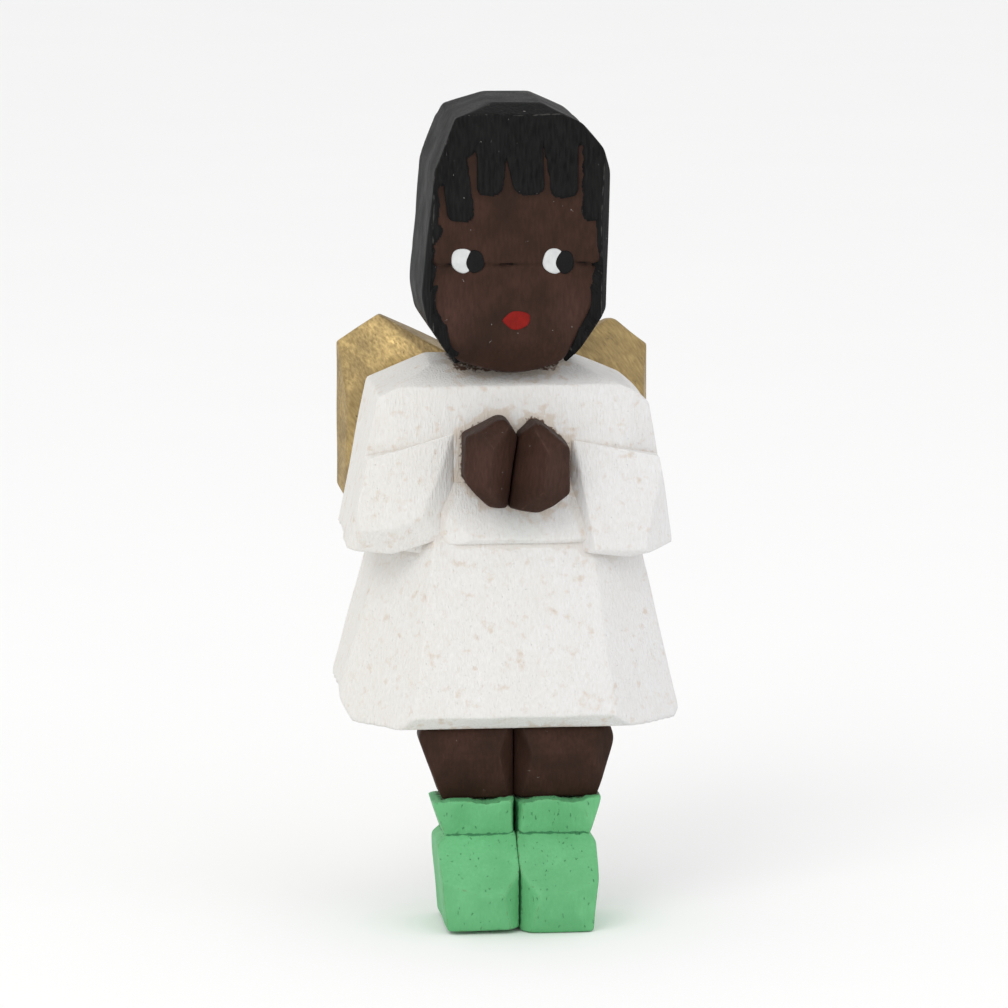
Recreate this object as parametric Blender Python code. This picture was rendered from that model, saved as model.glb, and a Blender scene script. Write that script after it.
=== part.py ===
"""Seated carved angel figurine, painted wood, made to sit on the edge of a shelf.

Frame: metres, +Z up, the figure faces -Y. The origin lies on the flat seat under the dress.
Left and right are as seen from the front: left is -X.

Every piece is carved the way a carver does it. It starts as a squared block, and each facet is one
straight knife cut that takes a corner or an edge off the block. Pieces that are glued together keep
a thin glue gap, so that each one stays its own solid.
"""

import math

import bmesh
import bpy
from mathutils import Matrix, Vector

MM = 0.001

# Fits
GLUE_GAP = 0.3 * MM
KERF = 0.3 * MM  # saw cut between the two legs, and between the two boots

# Dress: skirt, torso and sleeves
SKIRT_WIDTH = 30.4 * MM
SKIRT_MIDDLE = 0.1 * MM
SKIRT_FRONT = 12.0 * MM
SKIRT_BACK = 8.5 * MM
WAIST_HEIGHT = 15.5 * MM
HEM_DROP = 2.4 * MM  # the front hem hangs this far below the seat
SEAT_FRONT = 1.5 * MM
RISER_SLOPE = 2.7 * MM  # the shelf's worn edge clears this slope
TORSO_HEIGHT = 17.0 * MM
CHEST_FRONT = 7.0 * MM
TORSO_BACK = 8.2 * MM
SLEEVE_DROP = 3.1 * MM  # the sleeves reach this far below the waist
SLEEVE_SPAN = 29.2 * MM
SLEEVE_MIDDLE = -0.1 * MM
SLEEVE_PROUD = 2.3 * MM  # of the chest
SLEEVE_BACK = 2.0 * MM
CUFF_SPAN = 10.3 * MM  # between the two cuffs, where the hands lie
CUFF_MIDDLE = 0.1 * MM
LEDGE_RISE_LEFT = 11.5 * MM  # from the sleeve's underside to the ledge on top of it
LEDGE_RISE_RIGHT = 10.6 * MM
BELLY_PROUD = 1.6 * MM  # of the chest, under the hands
BELLY_CLEAR = 0.7 * MM  # below the heels of the hands
BELLY_DROP = 1.7 * MM  # below the waist

# Head and hair
HEAD_HEIGHT = 24.1 * MM
HEAD_WIDTH = 16.9 * MM
HEAD_MIDDLE = 0.4 * MM
HEAD_FRONT = 8.4 * MM
HEAD_BACK = 8.9 * MM
HAIR_THICKNESS = 1.3 * MM
CHIN_DROP = 0.5 * MM  # the chin lies this far below the top of the shoulders
FACE_MARGIN = 1.25 * MM  # hair left standing on each side of the face
FACE_MIDDLE = 0.2 * MM
FACE_HEIGHT = 13.5 * MM
FRINGE_RISE = 2.3 * MM  # the middle locks end this far above the outer two
FRINGE_MIDDLE = 1.1 * MM
NOTCHES = 4
NOTCHED_BROW = 0.625  # share of the face's width from the first notch to the last
NOTCH_DEPTH = 4.6 * MM
NOTCH_WIDTH = 0.9 * MM  # half the width of a notch at its foot
NOTCH_TAPER = 0.8  # share of that half width gone at the top of the notch

# Hands
HAND_WIDTH_LEFT = 4.9 * MM
HAND_WIDTH_RIGHT = 5.4 * MM
HAND_HEIGHT = 7.9 * MM
HAND_REACH = 5.2 * MM
HAND_RISE = 4.9 * MM  # from the sleeve's underside to the heel of the hand
HAND_LEAN = 8.0  # degrees, the tips of both hands lean to the right
WRIST_RADIUS = 1.2 * MM
WRIST_LENGTH = 2.4 * MM

# Legs and boots
LEG_WIDTH_LEFT = 8.7 * MM
LEG_WIDTH_RIGHT = 9.0 * MM
LEG_BACK = 5.8 * MM
LEG_SET_BACK = 0.8 * MM  # behind the front of the hem
ANKLE_DEPTH = 8.3 * MM  # below the seat, where the leg stands in its boot
BOOT_WIDTH = 7.2 * MM
TOE_REACH = 5.0 * MM  # in front of the leg
CUFF_PROUD = 0.7 * MM
CUFF_HEIGHT = 3.0 * MM
CUFF_ROOT = 1.0 * MM  # the cuff's block runs on into the foot
CUFF_FLARE_LEFT = 0.3 * MM  # past the side of the foot
CUFF_FLARE_RIGHT = 0.6 * MM
FOOT_HEIGHT_LEFT = 11.1 * MM
FOOT_HEIGHT_RIGHT = 11.4 * MM
TENON_RADIUS = 1.2 * MM
TENON_LENGTH = 3.0 * MM

# Wings
WING_SPAN_LEFT = 13.6 * MM
WING_SPAN_RIGHT = 14.3 * MM
WING_HEIGHT = 19.0 * MM
WING_RISE_LEFT = 2.6 * MM  # above the shoulders
WING_RISE_RIGHT = 1.8 * MM
WING_THICKNESS = 3.6 * MM
WING_SWEEP = 16.0  # degrees, backwards from the plane of the back
WING_PARTING = 1.0 * MM  # between the roots of the two wings

# Hidden dowels
DOWEL_RADIUS = 1.0 * MM
NECK_DOWEL_RADIUS = 1.5 * MM
NECK_DOWEL_LENGTH = 11.0 * MM
LEG_DOWEL_LENGTH = 6.0 * MM
WING_DOWEL_LENGTH = 6.0 * MM
WING_DOWEL_BITE = 2.1 * MM  # how deep the dowel sits in the wing

# Derived: every height follows from the waist, every depth from the chest or the hem
SLEEVE_BOTTOM = WAIST_HEIGHT - SLEEVE_DROP
SHOULDER_HEIGHT = SLEEVE_BOTTOM + TORSO_HEIGHT
LEDGE_LEFT = SLEEVE_BOTTOM + LEDGE_RISE_LEFT
LEDGE_RIGHT = SLEEVE_BOTTOM + LEDGE_RISE_RIGHT
HAND_BOTTOM = SLEEVE_BOTTOM + HAND_RISE
BELLY_BOTTOM = WAIST_HEIGHT - BELLY_DROP
CHIN_HEIGHT = SHOULDER_HEIGHT - CHIN_DROP
CROWN_HEIGHT = CHIN_HEIGHT + HEAD_HEIGHT
WING_TOP_LEFT = SHOULDER_HEIGHT + WING_RISE_LEFT
WING_TOP_RIGHT = SHOULDER_HEIGHT + WING_RISE_RIGHT
FACE_WIDTH = HEAD_WIDTH - 2 * FACE_MARGIN
LOCK_PITCH = FACE_WIDTH * NOTCHED_BROW / (NOTCHES - 1)
SLEEVE_FRONT = CHEST_FRONT + SLEEVE_PROUD
LEG_FRONT = SKIRT_FRONT - LEG_SET_BACK
CUFF_FRONT = LEG_FRONT + CUFF_PROUD
TOE_FRONT = LEG_FRONT + TOE_REACH
WING_BED = WING_THICKNESS / 4  # the wings' roots are let into the plane of the back

ROUND_SIDES = 24
OVERSIZE = 30.0 * MM  # how far a cutter runs past what it cuts
SNAP = 1e-7  # a corner this close to a knife plane lies on it

# Paints: colour, roughness, metallic
DRESS_PAINT = ((0.86, 0.83, 0.80), 0.75, 0.0)
SKIN_PAINT = ((0.065, 0.026, 0.018), 0.55, 0.0)
HAIR_PAINT = ((0.012, 0.012, 0.013), 0.50, 0.0)
BOOT_PAINT = ((0.12, 0.50, 0.22), 0.60, 0.0)
WING_PAINT = ((0.36, 0.24, 0.08), 0.42, 0.75)
BARE_WOOD = ((0.72, 0.56, 0.36), 0.80, 0.0)

# Which way each face of a block looks: axis number, direction along it
SIDES = {
    "left": (0, -1),
    "right": (0, 1),
    "front": (1, -1),
    "back": (1, 1),
    "bottom": (2, -1),
    "top": (2, 1),
}


def clear_scene():
    """Removes the objects of the startup scene."""
    for obj in list(bpy.data.objects):
        bpy.data.objects.remove(obj, do_unlink=True)


def make_collection(name):
    """A new collection in the scene."""
    collection = bpy.data.collections.new(name)
    bpy.context.scene.collection.children.link(collection)
    return collection


def make_material(name, paint):
    """A Principled material from a colour, a roughness and a metallic value."""
    colour, roughness, metallic = paint
    material = bpy.data.materials.new(name)
    material.use_nodes = True
    shader = material.node_tree.nodes["Principled BSDF"]
    shader.inputs["Base Color"].default_value = (*colour, 1.0)
    shader.inputs["Roughness"].default_value = roughness
    shader.inputs["Metallic"].default_value = metallic
    material.diffuse_color = (*colour, 1.0)
    return material


def facet(**insets):
    """One knife cut. Each named face gives, in millimetres, how far in from that face the cut meets
    the block's other faces, so facet(left=3, top=5) takes the upper left edge off."""
    return {side: inset * MM for side, inset in insets.items()}


def knife_plane(half, cut, grow):
    """Point and outward normal of a facet on a block with these half sizes, moved out by grow."""
    point = Vector((0.0, 0.0, 0.0))
    normal = Vector((0.0, 0.0, 0.0))
    for side in cut:
        axis, sign = SIDES[side]
        point[axis] = sign * half[axis]
        normal[axis] = sign / cut[side]
    axis, sign = SIDES[next(iter(cut))]
    point[axis] -= sign * cut[next(iter(cut))]
    normal.normalize()
    return point + normal * grow, normal


def carve(name, low, high, facets, grow=0.0):
    """Carves a block that spans low to high with the given facets. Its object sits at its centre.
    grow makes the same shape larger all round, to cut a seat for it with a glue gap."""
    low = Vector(low)
    high = Vector(high)
    half = (high - low) / 2
    size = 2 * half + Vector((2 * grow, 2 * grow, 2 * grow))
    block = bmesh.new()
    bmesh.ops.create_cube(block, size=1.0, matrix=Matrix.Diagonal((*size, 1.0)))
    for cut in facets:
        point, normal = knife_plane(half, cut, grow)
        geometry = block.verts[:] + block.edges[:] + block.faces[:]
        cutting = bmesh.ops.bisect_plane(
            block, geom=geometry, dist=SNAP, plane_co=point, plane_no=normal, clear_outer=True
        )
        rim = [item for item in cutting["geom_cut"] if isinstance(item, bmesh.types.BMEdge)]
        if rim:
            bmesh.ops.edgeloop_fill(block, edges=rim)
    bmesh.ops.recalc_face_normals(block, faces=block.faces)
    obj = object_from(name, block)
    obj.location = (low + high) / 2
    return obj


def peg(name, centre, axis, radius, length):
    """A round peg along the Y or Z axis."""
    pin = bmesh.new()
    bmesh.ops.create_cone(
        pin, cap_ends=True, segments=ROUND_SIDES, radius1=radius, radius2=radius, depth=length
    )
    obj = object_from(name, pin)
    if axis == "Y":
        obj.rotation_euler.x = math.pi / 2
    obj.location = centre
    return obj


def object_from(name, shape):
    """Makes an object of a bmesh shape, in no collection yet."""
    mesh = bpy.data.meshes.new(name)
    shape.to_mesh(mesh)
    shape.free()
    return bpy.data.objects.new(name, mesh)


def as_part(obj, material):
    """Makes an object one of the figure's parts, in its own paint."""
    parts.objects.link(obj)
    obj.data.materials.append(material)
    return obj


def as_helper(obj):
    """Keeps a cutter, or a block to be joined, out of the render."""
    helpers.objects.link(obj)
    obj.hide_render = True
    obj.display_type = "WIRE"
    return obj


def combine(part, helper, operation):
    """Adds a live Boolean to a part, and keeps its helper out of the render."""
    if helper.name not in helpers.objects:
        as_helper(helper)
    modifier = part.modifiers.new(f"{operation.lower()} {helper.name}", "BOOLEAN")
    modifier.operation = operation
    modifier.solver = "EXACT"
    modifier.object = helper


def join(part, *blocks):
    """Glues blocks on to a part as one body."""
    for block in blocks:
        combine(part, block, "UNION")


def cut_away(part, *cutters):
    """Cuts each cutter out of a part."""
    for cutter in cutters:
        combine(part, cutter, "DIFFERENCE")


# ---- blocks of the dress --------------------------------------------------------------------


def torso_block(name, grow=0.0):
    """The torso with sloping shoulders, down to the undersides of the sleeves."""
    facets = [
        facet(left=3.4, top=16.2),
        facet(left=9.6, bottom=1.5),
        facet(left=8.0, top=3.8),
        facet(right=2.5, top=15.0),
        facet(right=4.8, bottom=1.4),
        facet(right=8.4, top=3.6),
        facet(right=5.8, top=5.2),
        facet(front=4.0, top=2.0),
        facet(front=1.0, top=6.0),
        facet(left=4.4, front=2.5),
        facet(right=4.6, front=2.4),
        facet(back=3.5, top=5.0),
        facet(left=5.2, back=3.2),
        facet(right=5.2, back=3.2),
    ]
    low = (SLEEVE_MIDDLE - SLEEVE_SPAN / 2, -CHEST_FRONT, SLEEVE_BOTTOM)
    high = (SLEEVE_MIDDLE + SLEEVE_SPAN / 2, TORSO_BACK, SHOULDER_HEIGHT)
    return carve(name, low, high, facets, grow)


def skirt_block(name):
    """The skirt over the lap, wider at the hem than at the waist."""
    facets = [
        facet(left=4.6, top=15.0),
        facet(right=3.8, top=17.4),
        facet(front=4.4, top=17.5),
        facet(left=12.0, front=14.5, top=34.2),
        facet(right=13.3, front=11.7, top=33.1),
        facet(front=1.4, bottom=1.5),
        facet(left=0.9, bottom=1.6),
        facet(right=0.5, bottom=0.8),
        facet(left=4.4, back=3.4),
        facet(right=4.4, back=3.4),
        facet(back=1.4, top=14.0),
    ]
    low = (SKIRT_MIDDLE - SKIRT_WIDTH / 2, -SKIRT_FRONT, -HEM_DROP)
    high = (SKIRT_MIDDLE + SKIRT_WIDTH / 2, SKIRT_BACK, WAIST_HEIGHT)
    return carve(name, low, high, facets)


def left_sleeve_block(name):
    """The left forearm in its sleeve, with a ledge on top that rises to the middle."""
    facets = [
        facet(left=10.4, top=2.8),
        facet(front=2.3, top=9.0),
        facet(right=10.6, front=2.6, bottom=7.6),
        facet(front=1.5, bottom=3.3),
        facet(left=1.2, front=2.4),
        facet(left=2.3, top=10.0),
        facet(right=2.5, front=1.8),
        facet(left=9.0, bottom=1.1),
        facet(right=8.0, bottom=2.2),
    ]
    low = (SLEEVE_MIDDLE - SLEEVE_SPAN / 2, -SLEEVE_FRONT, SLEEVE_BOTTOM)
    high = (CUFF_MIDDLE - CUFF_SPAN / 2, -SLEEVE_BACK, LEDGE_LEFT)
    return carve(name, low, high, facets)


def right_sleeve_block(name):
    """The right forearm in its sleeve, with a flat front and a lower ledge."""
    facets = [
        facet(right=9.0, top=1.8),
        facet(front=2.0, top=9.0),
        facet(front=0.8, bottom=0.9),
        facet(right=2.6, front=2.6),
        facet(right=1.5, top=8.9),
        facet(left=1.2, front=1.8),
        facet(right=4.6, bottom=1.1),
        facet(left=6.0, bottom=0.7),
    ]
    low = (CUFF_MIDDLE + CUFF_SPAN / 2, -SLEEVE_FRONT, SLEEVE_BOTTOM)
    high = (SLEEVE_MIDDLE + SLEEVE_SPAN / 2, -SLEEVE_BACK, LEDGE_RIGHT)
    return carve(name, low, high, facets)


def belly_block(name):
    """What shows of the dress between the two cuffs, below the hands."""
    facets = [
        facet(front=1.4, top=3.4),
        facet(front=0.4, bottom=0.5),
        facet(left=3.6, front=0.9),
    ]
    low = (CUFF_MIDDLE - CUFF_SPAN / 2 - SLEEVE_BACK, -CHEST_FRONT - BELLY_PROUD, BELLY_BOTTOM)
    high = (CUFF_MIDDLE + CUFF_SPAN / 2 + SLEEVE_BACK, -SLEEVE_BACK, HAND_BOTTOM - BELLY_CLEAR)
    return carve(name, low, high, facets)


def under_seat_block(name):
    """What is sawn away under the seat: level behind, with a sloping riser down to the front hem."""
    drop = HEM_DROP + OVERSIZE
    low = (SKIRT_MIDDLE - SKIRT_WIDTH, -SEAT_FRONT - RISER_SLOPE * drop / HEM_DROP, -drop)
    high = (SKIRT_MIDDLE + SKIRT_WIDTH, SKIRT_BACK + OVERSIZE, 0.0)
    riser = {"front": RISER_SLOPE * drop / HEM_DROP, "top": drop}
    return carve(name, low, high, [riser])


# ---- blocks of the head ---------------------------------------------------------------------


def skull_block(name, wall, grow=0.0):
    """The head's block. With no wall it is the outside of the hair; with the hair's thickness as
    wall it is the wood inside, whose underside runs on past the hair to the shoulders."""
    facets = [
        facet(left=6.5, top=2.3),
        facet(left=3.6, top=8.4),
        facet(left=1.65, top=17.0),
        facet(left=1.4, bottom=7.2),
        facet(left=3.6, bottom=5.4),
        facet(right=6.1, top=3.0),
        facet(right=4.1, top=4.7),
        facet(right=1.9, top=6.1),
        facet(right=0.7, bottom=16.4),
        facet(right=1.9, bottom=7.5),
        facet(right=3.4, bottom=4.2),
        facet(left=1.0, front=1.4),
        facet(right=0.9, front=1.4),
        facet(front=1.2, top=8.5),
        facet(front=2.9, top=1.5),
        facet(left=4.6, back=4.0),
        facet(right=4.6, back=4.0),
        facet(back=4.2, top=4.4),
        facet(back=2.4, bottom=10.0),
        facet(front=2.6, bottom=2.2),
    ]
    inside = Vector((wall, wall, 0.0))
    centre = Vector((HEAD_MIDDLE, (HEAD_BACK - HEAD_FRONT) / 2, 0.0))
    half = Vector((HEAD_WIDTH / 2, (HEAD_BACK + HEAD_FRONT) / 2, 0.0))
    low = centre - half + inside
    high = centre + half - inside
    low.z = CHIN_HEIGHT
    high.z = CROWN_HEIGHT - wall
    return carve(name, low, high, facets, grow)


def face_block(name, reach=0.0, grow=0.0):
    """The face, from chin to brow. reach runs its outline straight forward, as the window that the
    hair leaves for it."""
    outline = [
        facet(left=2.9, bottom=7.1),
        facet(left=6.2, bottom=2.1),
        facet(right=3.6, bottom=7.3),
        facet(right=6.0, bottom=2.4),
    ]
    planes = [
        facet(left=4.6, front=1.5),
        facet(right=4.6, front=1.5),
        facet(front=1.8, bottom=2.6),
        facet(front=0.5, top=4.0),
    ]
    low = (FACE_MIDDLE - FACE_WIDTH / 2, -HEAD_FRONT - reach, CHIN_HEIGHT)
    high = (FACE_MIDDLE + FACE_WIDTH / 2, 0.0, CHIN_HEIGHT + FACE_HEIGHT)
    return carve(name, low, high, outline if reach else outline + planes, grow)


def fringe_cutters():
    """Cuts the fringe: a level cut that lifts the middle locks, and the notches between locks."""
    brow = CHIN_HEIGHT + FACE_HEIGHT
    front = -HEAD_FRONT - OVERSIZE
    back = -HEAD_FRONT / 2
    first = FRINGE_MIDDLE - LOCK_PITCH * (NOTCHES - 1) / 2
    low = (first, front, brow - FACE_HEIGHT / 2)
    high = (first + LOCK_PITCH * (NOTCHES - 1), back, brow + FRINGE_RISE)
    cutters = [carve("middle_fringe_cut", low, high, [])]
    for number in range(NOTCHES):
        middle = first + number * LOCK_PITCH
        low = (middle - NOTCH_WIDTH, front, brow - GLUE_GAP)
        high = (middle + NOTCH_WIDTH, back, brow + FRINGE_RISE + NOTCH_DEPTH)
        rise = high[2] - low[2]
        lean = NOTCH_WIDTH * NOTCH_TAPER
        taper = [{"left": lean, "top": rise}, {"right": lean, "top": rise}]
        cutters.append(carve(f"fringe_notch_{number + 1}", low, high, taper))
    return cutters


# ---- parts ----------------------------------------------------------------------------------


def make_dress():
    """The dress: torso, skirt and both sleeves, cut from one block of wood."""
    dress = as_part(torso_block("dress"), dress_paint)
    join(dress, skirt_block("skirt"), left_sleeve_block("sleeve_left"))
    join(dress, right_sleeve_block("sleeve_right"), belly_block("belly"))
    cut_away(dress, under_seat_block("under_seat"))


def make_head():
    """The head inside the hair, with the face joined on, cut to sit on the shoulders."""
    head = as_part(skull_block("head", HAIR_THICKNESS + GLUE_GAP), skin_paint)
    join(head, face_block("face"))
    cut_away(head, torso_block("shoulder_seat", GLUE_GAP))


def make_hair():
    """The hair, a hollowed cap with a window for the face. It needs the head's shoulder cutter."""
    hair = as_part(skull_block("hair", 0.0), hair_paint)
    cut_away(hair, skull_block("skull_seat", HAIR_THICKNESS + GLUE_GAP, GLUE_GAP))
    cut_away(hair, face_block("face_window", OVERSIZE, GLUE_GAP))
    cut_away(hair, *fringe_cutters())
    cut_away(hair, bpy.data.objects["shoulder_seat"])


def make_hand(side, sign, width, facets):
    """One folded hand. Its back lies on the chest and its wrist tenon sits in the dress."""
    inner = sign * KERF / 2
    outer = inner + sign * width
    back = -CHEST_FRONT - GLUE_GAP
    low = (min(inner, outer), back - HAND_REACH, HAND_BOTTOM)
    high = (max(inner, outer), back, HAND_BOTTOM + HAND_HEIGHT)
    hand = as_part(carve(f"hand_{side}", low, high, facets), skin_paint)
    middle = Vector((0.0, back, HAND_BOTTOM + HAND_HEIGHT / 2))
    lean = Matrix.Rotation(math.radians(HAND_LEAN), 3, "Y")
    hand.rotation_euler = lean.to_euler()
    hand.location = middle + lean @ (hand.location - middle)
    wrist = middle + lean @ Vector(((inner + outer) / 2, 0.0, 0.0))
    join(hand, peg(f"wrist_{side}", wrist, "Y", WRIST_RADIUS, 2 * WRIST_LENGTH))
    bore_length = 2 * (WRIST_LENGTH + GLUE_GAP)
    bore = peg(f"wrist_bore_{side}", wrist, "Y", WRIST_RADIUS + GLUE_GAP, bore_length)
    cut_away(bpy.data.objects["dress"], bore)


def make_leg(side, sign, width, taper):
    """One lower leg, hung from the hem on a dowel, with a round tenon that stands in the boot.
    taper is the facet that narrows it towards the ankle."""
    groove = "right" if side == "left" else "left"
    facets = [
        taper,
        facet(**{side: 0.4, "top": 0.6}),
        facet(**{side: 2.2, "front": 1.6}),
        facet(**{groove: 0.8, "front": 1.3}),
        facet(front=1.1, top=1.9),
        facet(front=1.2, bottom=3.4),
        facet(**{side: 1.5, "back": 1.5}),
    ]
    inner = sign * KERF / 2
    outer = inner + sign * width
    top = -HEM_DROP - GLUE_GAP
    low = (min(inner, outer), -LEG_FRONT, -ANKLE_DEPTH)
    high = (max(inner, outer), -LEG_BACK, top)
    leg = as_part(carve(f"leg_{side}", low, high, facets), skin_paint)
    middle_x = inner + sign * BOOT_WIDTH / 2
    middle_y = -(LEG_FRONT + LEG_BACK) / 2
    ankle = (middle_x, middle_y, -ANKLE_DEPTH)
    join(leg, peg(f"tenon_{side}", ankle, "Z", TENON_RADIUS, 2 * TENON_LENGTH))
    hip = (middle_x, middle_y, -HEM_DROP)
    bore_length = LEG_DOWEL_LENGTH + 2 * GLUE_GAP
    bore = peg(f"hip_bore_{side}", hip, "Z", DOWEL_RADIUS + GLUE_GAP, bore_length)
    cut_away(leg, bore)
    cut_away(bpy.data.objects["dress"], bore)
    as_part(peg(f"leg_dowel_{side}", hip, "Z", DOWEL_RADIUS, LEG_DOWEL_LENGTH), bare_wood)
    return ankle


def make_boot(side, sign, ankle, height, flare):
    """One ankle boot: a cuff that widens to the rim, on a foot whose toe slopes to the front."""
    groove = "right" if side == "left" else "left"
    inner = sign * KERF / 2
    outer = inner + sign * BOOT_WIDTH
    rim_outer = outer + sign * flare
    rim = -ANKLE_DEPTH - GLUE_GAP
    cuff_facets = [
        facet(**{side: 1.3, "bottom": 3.6}),
        facet(**{side: 2.0, "front": 1.3}),
        facet(**{groove: 0.5, "front": 1.4}),
        facet(front=1.0, bottom=3.7),
    ]
    cuff_low = (min(inner, rim_outer), -CUFF_FRONT, rim - CUFF_HEIGHT - CUFF_ROOT)
    cuff_high = (max(inner, rim_outer), -LEG_BACK, rim)
    boot = as_part(carve(f"boot_{side}", cuff_low, cuff_high, cuff_facets), boot_paint)
    foot_facets = [
        facet(front=5.2, top=4.6),
        facet(front=0.8, bottom=3.0),
        facet(**{side: 3.2, "front": 1.2}),
        facet(**{side: 1.0, "top": 0.9}),
        facet(**{groove: 1.4, "front": 1.8}),
        facet(**{side: 0.6, "bottom": 6.0}),
    ]
    foot_low = (min(inner, outer), -TOE_FRONT, rim - height)
    foot_high = (max(inner, outer), -LEG_BACK, rim - CUFF_HEIGHT)
    join(boot, carve(f"foot_{side}", foot_low, foot_high, foot_facets))
    bore_length = 2 * (TENON_LENGTH + GLUE_GAP)
    cut_away(boot, peg(f"ankle_bore_{side}", ankle, "Z", TENON_RADIUS + GLUE_GAP, bore_length))


def make_wing(side, sign, span, top, facets):
    """One wing: a thick plate that sweeps back, cut to lie on the back, held by a dowel."""
    low = (min(0.0, sign * span), 0.0, top - WING_HEIGHT)
    high = (max(0.0, sign * span), WING_THICKNESS, top)
    wing = as_part(carve(f"wing_{side}", low, high, facets), wing_paint)
    sweep = Matrix.Rotation(math.radians(sign * WING_SWEEP), 3, "Z")
    root_x = WING_PARTING / 2 + WING_THICKNESS * math.sin(math.radians(WING_SWEEP))
    root = Vector((sign * root_x, TORSO_BACK - WING_BED, 0.0))
    wing.rotation_euler = sweep.to_euler()
    wing.location = root + sweep @ wing.location
    cut_away(wing, bpy.data.objects["shoulder_seat"])
    tip = TORSO_BACK + GLUE_GAP + WING_DOWEL_BITE
    middle_x = sign * (root_x + span / 4)
    centre = (middle_x, tip - WING_DOWEL_LENGTH / 2, top - WING_HEIGHT / 2)
    bore_length = WING_DOWEL_LENGTH + 2 * GLUE_GAP
    bore = peg(f"wing_bore_{side}", centre, "Y", DOWEL_RADIUS + GLUE_GAP, bore_length)
    cut_away(wing, bore)
    cut_away(bpy.data.objects["dress"], bore)
    as_part(peg(f"wing_dowel_{side}", centre, "Y", DOWEL_RADIUS, WING_DOWEL_LENGTH), bare_wood)


def make_neck_dowel():
    """The dowel between shoulders and head."""
    centre = (HEAD_MIDDLE, 0.0, SHOULDER_HEIGHT)
    bore_length = NECK_DOWEL_LENGTH + 2 * GLUE_GAP
    bore = peg("neck_bore", centre, "Z", NECK_DOWEL_RADIUS + GLUE_GAP, bore_length)
    cut_away(bpy.data.objects["dress"], bore)
    cut_away(bpy.data.objects["head"], bore)
    as_part(peg("neck_dowel", centre, "Z", NECK_DOWEL_RADIUS, NECK_DOWEL_LENGTH), bare_wood)


LEFT_HAND = [
    facet(left=3.1, top=2.2),
    facet(left=1.0, bottom=8.0),
    facet(left=3.2, bottom=2.6),
    facet(left=2.8, front=2.4),
    facet(right=2.2, front=2.4),
    facet(right=1.2, top=1.4),
    facet(front=2.0, top=2.6),
    facet(front=1.9, bottom=2.4),
]
RIGHT_HAND = [
    facet(right=3.6, top=2.3),
    facet(right=1.1, top=8.0),
    facet(right=2.8, bottom=2.2),
    facet(right=3.2, front=2.4),
    facet(left=2.8, front=2.4),
    facet(left=1.2, top=1.4),
    facet(front=2.0, top=2.6),
    facet(front=1.9, bottom=2.4),
]
LEFT_WING = [
    facet(left=4.0, top=2.7),
    facet(right=9.6, top=4.6),
    facet(left=3.2, bottom=3.2),
    facet(right=10.0, bottom=6.0),
    facet(front=1.7, top=3.6),
    facet(left=1.4, front=2.0),
    facet(left=9.0, top=9.0, front=2.4),
    facet(left=1.2, back=1.2),
    facet(back=1.2, top=2.4),
]
RIGHT_WING = [
    facet(right=3.4, top=2.6),
    facet(left=10.2, top=4.8),
    facet(right=3.0, bottom=4.0),
    facet(left=10.0, bottom=6.0),
    facet(front=1.6, top=3.4),
    facet(right=1.2, front=2.0),
    facet(right=8.6, top=9.0, front=2.4),
    facet(right=1.2, back=1.2),
    facet(back=1.2, top=2.4),
]

clear_scene()
parts = make_collection("seated_angel_figurine")
helpers = make_collection("helpers")
dress_paint = make_material("dress_paint", DRESS_PAINT)
skin_paint = make_material("skin_paint", SKIN_PAINT)
hair_paint = make_material("hair_paint", HAIR_PAINT)
boot_paint = make_material("boot_paint", BOOT_PAINT)
wing_paint = make_material("wing_paint", WING_PAINT)
bare_wood = make_material("bare_wood", BARE_WOOD)

make_dress()
make_head()
make_hair()
make_neck_dowel()

make_hand("left", -1, HAND_WIDTH_LEFT, LEFT_HAND)
make_hand("right", 1, HAND_WIDTH_RIGHT, RIGHT_HAND)
left_ankle = make_leg("left", -1, LEG_WIDTH_LEFT, facet(left=2.1, bottom=5.2))
right_ankle = make_leg("right", 1, LEG_WIDTH_RIGHT, facet(right=1.6, bottom=4.4))
make_boot("left", -1, left_ankle, FOOT_HEIGHT_LEFT, CUFF_FLARE_LEFT)
make_boot("right", 1, right_ankle, FOOT_HEIGHT_RIGHT, CUFF_FLARE_RIGHT)
make_wing("left", -1, WING_SPAN_LEFT, WING_TOP_LEFT, LEFT_WING)
make_wing("right", 1, WING_SPAN_RIGHT, WING_TOP_RIGHT, RIGHT_WING)
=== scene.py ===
"""Seated carved angel in painted wood: the carved surfaces, their paints, the light and the camera.

Every carved piece is a closed surface worked out with numpy. A piece is described the way a carver
makes it, as squared blocks with knife cuts, and its surface is found by following one ray per grid
point outwards from the middle of the wood until it leaves the piece.
"""

import logging
import math
from dataclasses import dataclass, field
from enum import Enum
from typing import Callable, Protocol

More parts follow.
